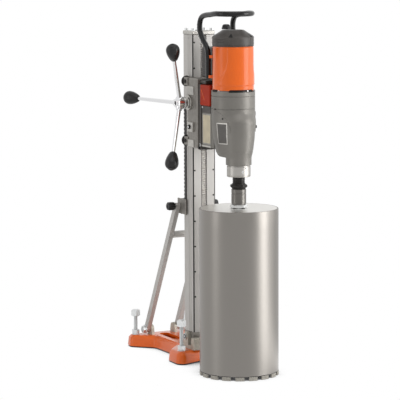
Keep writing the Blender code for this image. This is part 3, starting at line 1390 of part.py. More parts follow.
def make_barrel():
    """The barrel, closed above, with the diamond segments brazed round its lower rim."""
    inner = BIT_RADIUS - BIT_WALL
    profile = [
        (0, BARREL_TOP_Z),
        (BIT_RADIUS, BARREL_TOP_Z),
        (BIT_RADIUS, SEGMENT_HEIGHT),
        (inner, SEGMENT_HEIGHT),
        (inner, BARREL_TOP_Z - BARREL_TOP),
        (0, BARREL_TOP_Z - BARREL_TOP),
    ]
    barrel = turned("core_barrel", profile, (0, SPINDLE_Y, 0), STEEL, sides=SEGMENT_COUNT * 3)
    for index in range(SEGMENT_COUNT):
        middle = 360 * (index + 0.5) / SEGMENT_COUNT
        half_angle = SEGMENT_LENGTH / BIT_RADIUS / 2 * 180 / pi
        outer = arc((0, 0), BIT_RADIUS + SEGMENT_PROUD, middle - half_angle, middle + half_angle, 3)
        inside = arc((0, 0), inner - SEGMENT_PROUD, middle + half_angle, middle - half_angle, 3)
        height = SEGMENT_HEIGHT + 0.0015
        segment = plate(f"segment_{index + 1}", [outer + inside], height, (0, SPINDLE_Y, height / 2))
        join(barrel, segment)
    return barrel


def make_collar():
    """The water collar between the housing's neck and the spindle's nose."""
    bore = SPINDLE_RADIUS + RUNNING
    profile = [
        (bore, COLLAR_HEIGHT),
        (COLLAR_RADIUS, COLLAR_HEIGHT),
        (COLLAR_RADIUS, 0.001),
        (COLLAR_RADIUS - 0.001, 0),
        (bore, 0),
    ]
    turned("water_collar", profile, (0, SPINDLE_Y, COLLAR_LOW_Z), ANODISED, loop=True)


def main():
    """Builds the rig."""
    make_base()
    for place in screw_places():
        make_screw(*place)
    make_foot()
    make_column()
    make_slide()
    make_braces()
    make_carriage()
    make_rollers()
    make_lock()
    make_mount_plate()
    make_crank()
    make_housing()
    make_bearing_plate()
    make_bracket()
    make_motor_cover()
    make_cap()
    make_electronics()
    make_handle()
    make_motor_core()
    make_layshaft()
    make_spindle()
    make_collar()


main()
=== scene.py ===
"""The looks of a core drill rig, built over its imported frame.

Lengths are metres in the frame's own axes: +Z up the column, -Y towards the bit, +Y towards the braces
and -X towards the crank. Angles round the motor are measured from -Y towards +X.
"""

import logging
import math
from collections.abc import Callable, Iterable, Sequence
from dataclasses import dataclass
from enum import Enum

import bmesh
import bpy
from mathutils import Matrix, Vector


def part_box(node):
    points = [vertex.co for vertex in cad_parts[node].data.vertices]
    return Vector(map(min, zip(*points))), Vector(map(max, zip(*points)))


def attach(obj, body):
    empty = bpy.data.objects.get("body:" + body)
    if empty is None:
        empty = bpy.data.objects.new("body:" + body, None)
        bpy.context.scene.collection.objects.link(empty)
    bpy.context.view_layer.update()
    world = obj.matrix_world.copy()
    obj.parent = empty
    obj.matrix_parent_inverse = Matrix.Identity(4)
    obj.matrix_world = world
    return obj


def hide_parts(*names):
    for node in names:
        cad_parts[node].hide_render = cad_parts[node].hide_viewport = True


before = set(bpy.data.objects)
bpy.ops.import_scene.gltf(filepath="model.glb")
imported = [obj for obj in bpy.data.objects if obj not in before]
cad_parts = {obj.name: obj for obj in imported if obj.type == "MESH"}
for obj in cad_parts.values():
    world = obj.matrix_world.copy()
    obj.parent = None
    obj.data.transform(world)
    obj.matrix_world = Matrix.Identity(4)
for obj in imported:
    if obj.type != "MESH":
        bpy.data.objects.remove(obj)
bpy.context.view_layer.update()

LOG = logging.getLogger("core_drill_rig")
MM = 0.001
SIDES = (("left", -1.0), ("right", 1.0))
ENDS = ("front", "rear")
FULL = (0.0, 1.0)
SHARP = math.radians(32)

Point = tuple[float, float]
Triple = tuple[float, float, float]
Ring = list[Vector]
Colour = tuple[float, float, float, float]
Piece = bpy.types.Object
Tree = bpy.types.NodeTree
Node = bpy.types.Node
Socket = bpy.types.NodeSocket


# ---------------------------------------------------------------- nodes and colours


def linear(hex_colour: str) -> Colour:
    """Turns an sRGB hex value into a linear colour.

    Args:
        hex_colour: Six hex digits, with or without a leading hash.

    Returns:
        Linear red, green and blue, and an alpha of one.
    """
    digits = hex_colour.lstrip("#")
    parts = [int(digits[i : i + 2], 16) / 255 for i in (0, 2, 4)]
    return (*(p / 12.92 if p <= 0.04045 else ((p + 0.055) / 1.055) ** 2.4 for p in parts), 1.0)


def scaled(colour: Colour, factor: float, lift: float = 0.0) -> Colour:
    """Returns a linear colour multiplied by a factor and lifted by an amount."""
    return (*(min(1.0, part * factor + lift) for part in colour[:3]), 1.0)


def plug(tree: Tree, node: Node, inputs: dict) -> None:
    """Fills a node's inputs.

    Args:
        tree: The tree that holds the node.
        node: The node.
        inputs: Values, or sockets to link from, by input name or number.
    """
    for key, value in inputs.items():
        if isinstance(value, Socket):
            tree.links.new(value, node.inputs[key])
        else:
            node.inputs[key].default_value = value


def add_node(tree: Tree, kind: str, inputs: dict | None = None, **settings: object) -> Node:
    """Adds one node with its settings, values and links.

    Args:
        tree: The node tree that takes the node.
        kind: The node's type name, without its ShaderNode.
        inputs: Values, or sockets to link from, by input name or number.
        **settings: Properties of the node itself.

    Returns:
        The new node.
    """
    node = tree.nodes.new(f"ShaderNode{kind}")
    for name, value in settings.items():
        setattr(node, name, value)
    plug(tree, node, inputs or {})
    return node


# ---------------------------------------------------------------- finishes


@dataclass(frozen=True)
class Finish:
    """A finish of one real material. Its pattern sizes are millimetres."""

    name: str
    colour: str
    roughness: float = 0.4

    def material(self) -> bpy.types.Material:
        """Returns this finish's material, made on its first use."""
        made = bpy.data.materials.get(self.name)
        if made is None:
            made = bpy.data.materials.new(self.name)
            made.use_nodes = True
            self.dress(made.node_tree, made.node_tree.nodes["Principled BSDF"])
        return made

    def dress(self, tree: Tree, shader: Node) -> None:
        """Fills the material's tree. Each kind of finish has its own."""
        raise NotImplementedError

    def place(self, tree: Tree, stretch: Sequence[float] = (1, 1, 1)) -> Socket:
        """Returns the socket with the piece's own coordinates, stretched along its axes."""
        own = add_node(tree, "TexCoord").outputs["Object"]
        return add_node(tree, "Mapping", {"Vector": own, "Scale": tuple(stretch)}).outputs["Vector"]

    def blotches(
        self, tree: Tree, size_mm: float, span: Point | None = None, stretch: Sequence[float] = (1, 1, 1),
        detail: float = 3.0,
    ) -> Socket:
        """Gives a cloudy pattern whose blotches are about one size.

        Args:
            tree: The material's tree.
            size_mm: The size of a blotch, in millimetres.
            span: The two values that it runs between, or nothing for the noise as it is.
            stretch: What each axis is multiplied by, for streaks.
            detail: How many finer layers the noise has.

        Returns:
            The socket with the pattern.
        """
        inputs = {"Vector": self.place(tree, stretch), "Scale": 1000.0 / size_mm, "Detail": detail}
        noise = add_node(tree, "TexNoise", inputs).outputs["Fac"]
        if span is None:
            return noise
        inputs = {"Value": noise, "From Min": 0.3, "From Max": 0.7, "To Min": span[0], "To Max": span[1]}
        return add_node(tree, "MapRange", inputs).outputs["Result"]

    def edge(self, tree: Tree, width_mm: float) -> Socket:
        """Finds the outer edges and corners of a piece.

        Args:
            tree: The material's tree.
            width_mm: How far from the edge it reaches, in millimetres.

        Returns:
            The socket with a value that is near one on an edge.
        """
        soft = add_node(tree, "Bevel", {"Radius": width_mm * MM}, samples=4).outputs["Normal"]
        flat = add_node(tree, "NewGeometry").outputs["Normal"]
        dot = add_node(tree, "VectorMath", {0: soft, 1: flat}, operation="DOT_PRODUCT").outputs["Value"]
        inputs = {"Value": dot, "From Min": 0.995, "From Max": 0.8, "To Min": 0.0, "To Max": 1.0}
        return add_node(tree, "MapRange", inputs).outputs["Result"]

    def surface(
        self, tree: Tree, shader: Node, ground: Colour, layers: Sequence, relief: tuple, values: dict,
    ) -> None:
        """Lays colours over each other, raises the relief and sets the shader's other inputs.

        Args:
            tree: The material's tree.
            shader: Its shader.
            ground: The lowest colour.
            layers: The share and the colour of each layer over it.
            relief: A height from zero to one, and the depth in millimetres that one stands for.
            values: Sockets or plain values, by input name.
        """
        tone = ground
        for share, colour in layers:
            tone = add_node(tree, "Mix", {0: share, 6: tone, 7: colour}, data_type="RGBA").outputs[2]
        height, depth_mm = relief
        bump = add_node(tree, "Bump", {"Height": height, "Strength": 1.0, "Distance": depth_mm * MM})
        plug(tree, shader, {"Base Color": tone, "Normal": bump.outputs["Normal"], **values})


@dataclass(frozen=True)
class PowderCoat(Finish):
    """Powder coat on a casting or a pressed cover: an even colour, faint orange peel and rubbed edges."""

    worn: str = "#F0A07A"
    peel_mm: float = 1.4
    coat: float = 0.35
    metal: float = 0.0

    def dress(self, tree: Tree, shader: Node) -> None:
        """Paint of slightly uneven thickness, paler where an edge is rubbed, under a clear gloss."""
        paint = linear(self.colour)
        inputs = {0: self.edge(tree, 0.9), 1: self.blotches(tree, 6, (0.05, 0.75))}
        rub = add_node(tree, "Math", inputs, operation="MULTIPLY").outputs[0]
        layers = [(self.blotches(tree, 70, FULL), scaled(paint, 1.1)), (rub, linear(self.worn))]
        values = {
            "Roughness": self.blotches(tree, 18, (self.roughness - 0.04, self.roughness + 0.05)),
            "Metallic": self.metal, "IOR": 1.5, "Specular IOR Level": 0.25, "Coat Weight": self.coat,
            "Coat IOR": 1.3, "Coat Roughness": 0.08,
        }
        relief = (self.blotches(tree, self.peel_mm, detail=1.0), 0.02)
        self.surface(tree, shader, paint, layers, relief, values)


@dataclass(frozen=True)
class CastMetal(Finish):
    """Sand-cast and blasted aluminium: a dull grain that scatters the light, brighter on machined edges."""

    bright: str = "#B9B6B0"
    grain_mm: float = 0.7
    metal: float = 0.75

    def dress(self, tree: Tree, shader: Node) -> None:
        """Blast grain over slow blotches of the casting skin, with edges polished by handling."""
        skin = linear(self.colour)
        layers = [(self.blotches(tree, 9, FULL), skin), (self.edge(tree, 0.7), linear(self.bright))]
        rough = self.blotches(tree, 3, (self.roughness - 0.06, self.roughness + 0.06))
        relief = (self.blotches(tree, self.grain_mm, detail=2.0), 0.05)
        values = {"Roughness": rough, "Metallic": self.metal}
        self.surface(tree, shader, scaled(skin, 0.8), layers, relief, values)


@dataclass(frozen=True)
class DrawnMetal(Finish):
    """Metal with fine lines along one axis: an anodised extrusion, or a tube brushed round and round."""

    line_mm: float = 0.35
    along: Triple = (1.0, 1.0, 0.012)
    depth_mm: float = 0.006
    sheen: float = 0.1
    metal: float = 1.0
    stretch: float = 0.0

    def dress(self, tree: Tree, shader: Node) -> None:
        """Lines drawn coarser than the real ones, so that they show, over a slow change of tone."""
        tone = linear(self.colour)
        lines = self.blotches(tree, self.line_mm, None, self.along, 2.0)
        inputs = {0: lines, 1: self.blotches(tree, 90)}
        total = add_node(tree, "Math", inputs, operation="ADD").outputs[0]
        inputs = {"Value": total, "From Min": 0.6, "From Max": 1.4}
        share = add_node(tree, "MapRange", inputs).outputs["Result"]
        low, high = self.roughness - self.sheen, self.roughness + self.sheen
        inputs = {"Value": lines, "From Min": 0.3, "From Max": 0.7, "To Min": low, "To Max": high}
        rough = add_node(tree, "MapRange", inputs).outputs["Result"]
        values = {"Roughness": rough, "Metallic": self.metal}
        if self.stretch:
            tangent = add_node(tree, "Tangent", direction_type="RADIAL", axis="Z").outputs["Tangent"]
            values |= {"Tangent": tangent, "Anisotropic": self.stretch, "Anisotropic Rotation": 0.25}
        dark = scaled(tone, 1.0 - 1.4 * self.sheen)
        self.surface(tree, shader, dark, [(share, tone)], (lines, self.depth_mm), values)


@dataclass(frozen=True)
class PlatedSteel(Finish):
    """Zinc or chrome on steel: a bright skin with a cloud of tone, dulled in patches by handling."""

    cloud: str = "#9AA3AA"
    cloud_mm: float = 5.0
    smear: float = 0.06

    def dress(self, tree: Tree, shader: Node) -> None:
        """Crystal clouds of the plating and faint smears that break up its reflections."""
        layers = [(self.blotches(tree, self.cloud_mm, FULL), linear(self.cloud))]
        rough = self.blotches(tree, 14, (self.roughness, self.roughness + self.smear))
        values = {"Roughness": rough, "Metallic": 1.0}
        self.surface(tree, shader, linear(self.colour), layers, (self.blotches(tree, 2.5), 0.006), values)


@dataclass(frozen=True)
class MouldedPlastic(Finish):
    """Glass-filled polyamide from a spark-eroded mould: a fine grain and a soft, broad gloss."""

    grain_mm: float = 0.55
    grain_depth_mm: float = 0.03
    gloss: float = 0.0

    def dress(self, tree: Tree, shader: Node) -> None:
        """Mould grain, a little dust in the tone, and edges painted lighter: wear from use, and a painted
        sheen.
        """
        body = linear(self.colour)
        dust = (self.blotches(tree, 22, FULL), scaled(body, 1.25, 0.004))
        # Edges painted lighter: partly wear, partly a painted sheen.
        edge_wear_and_sheen = (self.edge(tree, 0.6), scaled(body, 1.5, 0.01))
        values = {
            "Roughness": self.blotches(tree, 8, (self.roughness - 0.05, self.roughness + 0.05)),
            "IOR": 1.53, "Specular IOR Level": 0.3, "Coat Weight": self.gloss, "Coat Roughness": 0.1,
        }
        inputs = {"Vector": self.place(tree), "Scale": 1000.0 / self.grain_mm}
        grain = add_node(tree, "TexVoronoi", inputs).outputs["Distance"]
        self.surface(tree, shader, body, [dust, edge_wear_and_sheen], (grain, self.grain_depth_mm), values)


@dataclass(frozen=True)
class SinteredSegment(Finish):
    """Diamond grit sintered in bronze and cobalt: rough, with crystals that stand out as light specks."""

    grit: str = "#D8D4C8"
    grit_mm: float = 0.9

    def dress(self, tree: Tree, shader: Node) -> None:
        """Specks of grit, drawn at about twice their real size, in a dull matrix."""
        inputs = {"Vector": self.place(tree), "Scale": 1000.0 / self.grit_mm}
        cells = add_node(tree, "TexVoronoi", inputs).outputs["Distance"]
        inputs = {"Value": cells, "From Min": 0.22, "From Max": 0.1, "To Min": 0.0, "To Max": 0.8}
        specks = add_node(tree, "MapRange", inputs).outputs["Result"]
        values = {"Metallic": 0.4, "Roughness": self.roughness}
        layers = [(specks, linear(self.grit))]
        self.surface(tree, shader, linear(self.colour), layers, (specks, 0.08), values)


@dataclass(frozen=True)
class Winding(Finish):
    """Enamelled copper wire beside stacked lamination steel: fine parallel lines."""

    wire_mm: float = 0.8
    gap: str = "#5A2E18"

    def dress(self, tree: Tree, shader: Node) -> None:
        """A line for each turn of wire, darker between the turns."""
        inputs = {"Vector": self.place(tree), "Scale": 1000.0 / self.wire_mm / 6.3, "Distortion": 0.4}
        lines = add_node(tree, "TexWave", inputs, bands_direction="Z").outputs["Fac"]
        values = {"Metallic": 0.8, "Roughness": self.roughness}
        self.surface(tree, shader, linear(self.gap), [(lines, linear(self.colour))], (lines, 0.1), values)


class Paint(Enum):
    """Every finish of the rig."""

    ORANGE = PowderCoat("orange_powder_coat", "#E06212", 0.34, "#F0A07A", 1.4, 0.9)
    # A darker, redder copy of the orange paint for the bracket cover, which sits in shadow: painted shade.
    RED = PowderCoat("orange_powder_coat_painted_shade", "#A02C14", 0.55, "#B8522E", 1.0, 0.0)
    HOUSING = PowderCoat("grey_powder_coat_on_cast_aluminium", "#7B7873", 0.44, "#A8A5A0", 0.9, 0.15, 0.45)
    CAST = CastMetal("blasted_cast_aluminium", "#97938D", 0.5)
    PALE_CAST = CastMetal("zinc_sprayed_casting", "#C2BCAF", 0.5, "#DAD6CC", 0.7, 0.4)
    MACHINED = CastMetal("machined_cast_aluminium", "#C4C1BB", 0.36, "#E4E2DE", 0.5, 0.9)
    ANODISED = DrawnMetal(
        "anodised_aluminium_extrusion", "#BFBCB8", 0.44, 0.35, (1.0, 1.0, 0.012), 0.003, 0.04, 0.35,
    )
    RACK = DrawnMetal("ground_rack_steel", "#C9C5C0", 0.4, 0.4, (1.0, 0.02, 0.02), 0.004, 0.06, 0.6)
    COLLAR = DrawnMetal(
        "satin_turned_aluminium", "#B8B5B0", 0.41, 0.3, (0.02, 0.02, 1.0), 0.002, 0.03, 1.0, 0.5,
    )
    TUBE = DrawnMetal("satin_steel_tube", "#94908B", 0.42, 0.3, (0.01, 0.01, 1.0), 0.0005, 0.012, 1.0, 0.65)
    DISC = DrawnMetal("ground_steel_disc", "#E4E2DD", 0.34, 0.4, (0.4, 0.4, 1.0), 0.004, 0.04)
    STEEL = DrawnMetal(
        "turned_carbon_steel", "#7A7773", 0.38, 0.4, (0.02, 0.02, 1.0), 0.006, 0.08, 1.0, 0.5,
    )
    BLACKENED = DrawnMetal(
        "oil_blackened_steel", "#2E2C2B", 0.36, 0.4, (0.03, 0.03, 1.0), 0.005, 0.08, 0.7, 0.4,
    )
    ZINC = PlatedSteel("zinc_plated_steel", "#AEB3B5", 0.26, "#93999D")
    CHROME = PlatedSteel("chromed_steel", "#B6B7B8", 0.28, "#A2A4A6", 30.0, 0.05)
    BLACK = MouldedPlastic("black_moulded_polyamide", "#1A1919", 0.34, 0.5, 0.02, 0.05)
    DARK = MouldedPlastic("dark_grey_moulded_polyamide", "#433F3C", 0.36, 0.6, 0.02, 0.0)
    COATED = PowderCoat("black_powder_coat_on_steel_tube", "#100F0F", 0.24, "#2C2A2A", 1.2, 0.5)
    # Black rubber, also used as painted shade in the column's gaps and for the dark line under the base.
    RUBBER_AND_SHADE = MouldedPlastic("nitrile_rubber_and_painted_shade", "#171616", 0.7, 0.8, 0.04)
    # Near-black that stands for the dark inside of slots and recesses: painted shade.
    PAINTED_SHADE_BLACK = MouldedPlastic("black_painted_shade", "#0B0B0B", 0.75, 0.8, 0.03)
    PLATE = MouldedPlastic("blank_vinyl_label", "#B9AE96", 0.42, 0.9, 0.008)
    FRAME = MouldedPlastic("grey_vinyl_label_edge", "#8F8C87", 0.45, 0.9, 0.008)
    TAG = MouldedPlastic("blank_dark_foil_plate", "#55524F", 0.4, 0.9, 0.008)
    SEGMENT = SinteredSegment("sintered_diamond_segment", "#A8A49C", 0.62)
    COPPER = Winding("enamelled_copper_winding", "#B66A3C", 0.35)


class Slot(Enum):
    """The record's material slots."""

    ORANGE = "orange_paint"
    HOUSING = "grey_painted_casting"
    CAST = "bare_aluminium_casting"
    ANODISED = "anodised_aluminium"
    ZINC = "zinc_plated_steel"
    STEEL = "machined_steel"
    TUBE = "satin_steel"
    CHROME = "chromed_steel"
    BLACK = "black_plastic"
    DARK = "dark_grey_plastic"
    BLACKENED = "blackened_steel"
    COATED = "black_coated_steel"
    COPPER = "copper_winding"


# ---------------------------------------------------------------- shapes


def at(x: float, y: float, z: float) -> Matrix:
    """Returns the placement at a point."""
    return Matrix.Translation((x, y, z))


def outward(degrees: float) -> Vector:
    """Returns the direction at an angle round the motor's axis, from -Y towards +X."""
    return Vector((math.sin(math.radians(degrees)), -math.cos(math.radians(degrees)), 0))


def along(axis: Sequence[float], origin: Sequence[float]) -> Matrix:
    """Returns the placement at a point whose own +Z lies along an axis."""
    return at(*origin) @ Vector(axis).to_track_quat("Z", "Y").to_matrix().to_4x4()


def settle(name: str, shape: bmesh.types.BMesh, paint: Paint, place: Matrix | None = None) -> Piece:
    """Turns an edited mesh into a smooth-shaded object.

    Args:
        name: The piece's name.
        shape: The edited mesh, which is freed.
        paint: Its finish.
        place: Where it lies, or nothing for the rig's own axes. Drawn metal keeps its own axes for its lines.

    Returns:
        The object.
    """
    bmesh.ops.remove_doubles(shape, verts=shape.verts, dist=1e-7)
    bmesh.ops.dissolve_degenerate(shape, edges=shape.edges, dist=1e-7)
    bmesh.ops.recalc_face_normals(shape, faces=shape.faces)
    mesh = bpy.data.meshes.new(name)
    shape.to_mesh(mesh)
    shape.free()
    mesh.shade_smooth()
    mesh.set_sharp_from_angle(angle=SHARP)
    mesh.materials.append(paint.value.material())
    piece = bpy.data.objects.new(name, mesh)
    bpy.context.scene.collection.objects.link(piece)
    if place is not None and isinstance(paint.value, DrawnMetal):
        piece.matrix_world = place
    elif place is not None:
        mesh.transform(place)
    return piece


def loft(
    name: str, rings: Sequence[Ring], paint: Paint, place: Matrix | None = None, loop: bool = False,
) -> Piece:
    """Joins rings of points, one after another, with a skin.

    Args:
        name: The piece's name.
        rings: Closed rings with the same number of points.
        paint: Its finish.
        place: Where it lies.
        loop: Whether the last ring joins the first one. Otherwise a face closes each end.

    Returns:
        The object.
    """
    shape = bmesh.new()
    rows = [[shape.verts.new(point) for point in ring] for ring in rings]
    pairs = list(zip(rows, rows[1:]))
    if loop:
        pairs.append((rows[-1], rows[0]))
    else:
        shape.faces.new(rows[0])
        shape.faces.new(rows[-1])
    for low, high in pairs:
        for i in range(len(low)):
            j = (i + 1) % len(low)
            shape.faces.new((low[i], low[j], high[j], high[i]))
    return settle(name, shape, paint, place)


def fluted(
    name: str, profile: Sequence[Point], cut: Callable[[float, float], float], paint: Paint,
    place: Matrix | None, steps: int = 96, loop: bool = False,
) -> Piece:
    """A piece about its own Z axis with flutes or lobes cut into its round.

    Args:
        name: The piece's name.
        profile: Radius and height of each point along the outer side.
        cut: The depth of the cut at a radius and an angle.
        paint: Its finish.
        place: Where it lies.
        steps: How many steps go round.
        loop: Whether the profile is a closed ring, as for a bush.

    Returns:
        The object.
    """
    rings = []
    for r, z in profile:
        ring = []
        for i in range(steps):
            a = 2 * math.pi * i / steps
            reach = r - cut(r, a)
            ring.append(Vector((reach * math.cos(a), reach * math.sin(a), z)))
        rings.append(ring)
    return loft(name, rings, paint, place, loop)


def turned(
    name: str, profile: Sequence[Point], paint: Paint, place: Matrix | None = None, steps: int = 64,
    loop: bool = False,
) -> Piece:
    """A turned piece about its own Z axis.

    Args:
        name: The piece's name.
        profile: Radius and height of each point along the outer side.
        paint: Its finish.
        place: Where it lies.
        steps: How many steps go round.
        loop: Whether the profile is a closed ring, as for a bush.

    Returns:
        The object.
    """
    points = list(profile) if loop else [(1e-6, profile[0][1]), *profile, (1e-6, profile[-1][1])]
    return fluted(name, points, lambda r, a: 0.0, paint, place, steps, loop)


def rounded(outline: Sequence[Point], radius: float, steps: int = 4) -> list[Point]:
    """Rounds the corners of a closed outline.

    Args:
        outline: Its corners in order.
        radius: How far from a corner the round starts.
        steps: How many pieces each round has.

    Returns:
        The points of the rounded outline.
    """
    corners = [Vector(p) for p in outline]
    points: list[Point] = []
    for i, corner in enumerate(corners):
        before, after = corners[i - 1] - corner, corners[(i + 1) % len(corners)] - corner
        start = corner + before.normalized() * min(radius, before.length * 0.45)
        end = corner + after.normalized() * min(radius, after.length * 0.45)
        for k in range(steps + 1):
            t = k / steps
            p = start * (1 - t) ** 2 + corner * 2 * t * (1 - t) + end * t**2
            points.append((p.x, p.y))
    return points


def inset(outline: Sequence[Point], distance: float) -> list[Point]:
    """Moves every side of a counter-clockwise outline inwards.

    Args:
        outline: Its corners in order.
        distance: How far each side moves in.

    Returns:
        The moved corners.
    """
    corners = [Vector(p) for p in outline]
    points: list[Point] = []
    for i, corner in enumerate(corners):
        before = (corner - corners[i - 1]).normalized()
        after = (corners[(i + 1) % len(corners)] - corner).normalized()
        first, second = Vector((-before.y, before.x)), Vector((-after.y, after.x))
        shift = (first + second) / max(0.35, 1 + first.dot(second))
        points.append((corner.x + shift.x * distance, corner.y + shift.y * distance))
    return points


def mirrored(half: Sequence[Point]) -> list[Point]:
    """Returns the whole counter-clockwise outline for its +X half, given from front to rear."""
    return list(half) + [(-x, y) for x, y in reversed(half)]


def prism(
    name: str, outline: Sequence[Point], low: float, high: float, paint: Paint, edge: float = 0.0,
    place: Matrix | None = None,
) -> Piece:
    """A straight piece between two heights, with its edges rounded.

    Args:
        name: The piece's name.
        outline: Its outline across its own Z axis.
        low: The height of its lower face.
        high: The height of its upper face.
        paint: Its finish.
        edge: The width of its rounded edges.
        place: Where it lies.

    Returns:
        The object.
    """
    rings = [[Vector((x, y, z)) for x, y in outline] for z in (low, high)]
    piece = loft(name, rings, paint, place)
    return eased(piece, edge) if edge else piece


def block(
    name: str, low: Sequence[float], high: Sequence[float], paint: Paint, edge: float = 0.0006,
) -> Piece:
    """A box between two corners, with its edges rounded.

    Args:
        name: The piece's name.
        low: Its lowest corner.
        high: Its highest corner.
        paint: Its finish.
        edge: The width of its rounded edges.

    Returns:
        The object.
    """
    outline = [(low[0], low[1]), (high[0], low[1]), (high[0], high[1]), (low[0], high[1])]
    return prism(name, outline, low[2], high[2], paint, edge)


def eased(piece: Piece, width: float, segments: int = 2) -> Piece:
    """Rounds the edges of a piece.

    Args:
        piece: The piece.
        width: The width of the round.
        segments: How many faces go round an edge.

    Returns:
        The same piece.
    """
    modifier = piece.modifiers.new("edges", "BEVEL")
    modifier.width = width
    modifier.segments = segments
    modifier.limit_method = "ANGLE"
    modifier.angle_limit = SHARP
    modifier.harden_normals = True
    return piece


def carved(piece: Piece, cutters: Iterable[Piece]) -> Piece:
    """Cuts shapes out of a piece and removes the shapes.

    Args:
        piece: The piece.
        cutters: The shapes to cut away.

    Returns:
        The same piece with its new mesh.
    """
    cutters = list(cutters)
    for cutter in cutters:
        modifier = piece.modifiers.new(cutter.name, "BOOLEAN")
        modifier.operation = "DIFFERENCE"
        modifier.solver = "EXACT"
        modifier.object = cutter
    graph = bpy.context.evaluated_depsgraph_get()
    mesh = bpy.data.meshes.new_from_object(piece.evaluated_get(graph))
    piece.modifiers.clear()
    piece.data = mesh
    mesh.shade_smooth()
    mesh.set_sharp_from_angle(angle=SHARP)
    for cutter in cutters:
        bpy.data.objects.remove(cutter)
    return piece


def refined(node: str, paint: Paint, width: float = 0.0008, segments: int = 2) -> Piece:
    """A fresh copy of a frame node's shape with rounded edges.

    Args:
        node: The frame node's name.
        paint: Its finish.
        width: The width of its rounded edges.
        segments: How many faces go round an edge.

    Returns:
        The object, named after the node.
    """
    shape = bmesh.new()
    shape.from_mesh(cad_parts[node].data)
    bmesh.ops.remove_doubles(shape, verts=shape.verts, dist=1e-6)
    bmesh.ops.dissolve_limit(shape, angle_limit=math.radians(0.6), verts=shape.verts, edges=shape.edges)
    return eased(settle(f"{node}_body", shape, paint), width, segments)


def tube(name: str, points: Sequence[Sequence[float]], radius: float, paint: Paint) -> Piece:
    """A round bar along a path.

    Args:
        name: The piece's name.
        points: The places its centre line passes.
        radius: Its radius.
        paint: Its finish.

    Returns:
        The object.
    """
    curve = bpy.data.curves.new(name, "CURVE")
    curve.dimensions = "3D"
    curve.bevel_depth = radius
    curve.bevel_resolution = 6
    curve.resolution_u = 8
    curve.use_fill_caps = True
    spline = curve.splines.new("BEZIER")
    spline.bezier_points.add(len(points) - 1)
    for point, place in zip(spline.bezier_points, points):
        point.co = place
        point.handle_left_type = point.handle_right_type = "AUTO"
    curve.materials.append(paint.value.material())
    piece = bpy.data.objects.new(name, curve)
    bpy.context.scene.collection.objects.link(piece)
    return piece


def nut(
    name: str, flats: float, sides: int, height: float, bore: float, paint: Paint, place: Matrix,
) -> Piece:
    """A nut, or a bolt's head where it has no bore, with its corners chamfered as a cone cuts them.

    Args:
        name: The piece's name.
        flats: Its size across the flats.
        sides: Six for a hexagon, four for a square.
        height: Its height.
        bore: The radius of its hole, or zero.
        paint: Its finish.
        place: Where the middle of its lower face lies.

    Returns:
        The object.
    """
    steps = sides * 12
    chamfer = flats * 0.475
    slope = math.tan(math.radians(30))

    def reach(index: int) -> float:
        """Gives the distance from the axis to the side at one step."""
        part = (2 * math.pi * index / steps) % (2 * math.pi / sides) - math.pi / sides
        return flats / 2 / math.cos(part)

    def ring(radius: Callable[[int], float], height_at: Callable[[int], float]) -> Ring:
        """Gives one ring from a radius and a height at each step."""
        angles = [2 * math.pi * i / steps for i in range(steps)]
        return [
            Vector((radius(i) * math.cos(a), radius(i) * math.sin(a), height_at(i)))
            for i, a in enumerate(angles)
        ]

    hole = max(bore, 1e-6)
    rings = [
        ring(lambda i: hole, lambda i: height), ring(lambda i: chamfer, lambda i: height),
        ring(reach, lambda i: height - (reach(i) - chamfer) * slope),
        ring(reach, lambda i: (reach(i) - chamfer) * slope), ring(lambda i: chamfer, lambda i: 0.0),
        ring(lambda i: hole, lambda i: 0.0),
    ]
    return loft(name, rings, paint, place, loop=bore > 0)


def threaded(
    name: str, radius: float, pitch: float, length: float, paint: Paint, place: Matrix, steps: int = 24,
) -> Piece:
    """A threaded rod whose thread winds round it.

    Args:
        name: The piece's name.
        radius: The radius of the thread's crest.
        pitch: The distance between two crests.
        length: The rod's length.
        paint: Its finish.
        place: Where the middle of its lower end lies.
        steps: How many steps go round.

    Returns:
        The object.
    """
    root = radius - 0.6 * pitch
    levels = int(length / pitch * 2) + 4
    shape = bmesh.new()
    rows = []
    for level in range(-2, levels):
        row = []
        for i in range(steps + 1):
            a = 2 * math.pi * i / steps
            z = min(length, max(0.0, (level + 2 * i / steps) * pitch / 2))
            r = radius if level % 2 else root
            row.append(shape.verts.new((r * math.cos(a), r * math.sin(a), z)))
        rows.append(row)
    for low, high in zip(rows, rows[1:]):
        for i in range(steps):
            corners = (low[i], low[i + 1], high[i + 1], high[i])
            if max(v.co.z for v in corners) - min(v.co.z for v in corners) > 1e-9:
                shape.faces.new(corners)
    bmesh.ops.remove_doubles(shape, verts=shape.verts, dist=1e-6)
    bmesh.ops.holes_fill(shape, edges=[e for e in shape.edges if e.is_boundary], sides=0)
    bmesh.ops.delete(shape, geom=[v for v in shape.verts if not v.link_faces], context="VERTS")
    return settle(name, shape, paint, place)


def fit(piece: Piece, body: str, slot: Slot, *nodes: str) -> Piece:
    """Puts a finished piece on its body and says which frame nodes it stands for.

    Args:
        piece: The piece.
        body: The body that it moves with.
        slot: The record's material slot for the piece; not used.
        *nodes: The frame nodes that it replaces.

    Returns:
        The same piece.
    """
    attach(piece, body)
    if nodes:
        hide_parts(*nodes)
    LOG.info("%s rides on %s%s", piece.name, body, f" for {', '.join(nodes)}" if nodes else "")
    return piece


def dress(paint: Paint, *nodes: str) -> None:
    """Gives frame nodes that stay as they are a finish.

    Args:
        paint: The finish.
        *nodes: The nodes' names.
    """
    for node in nodes:
        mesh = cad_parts[node].data
        mesh.materials.clear()
        mesh.materials.append(paint.value.material())
        LOG.info("%s keeps its shape", node)


def middle(node: str) -> Vector:
    """Returns the middle of a frame node's box."""
    low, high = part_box(node)
    return (low + high) / 2


# ---------------------------------------------------------------- base and foot


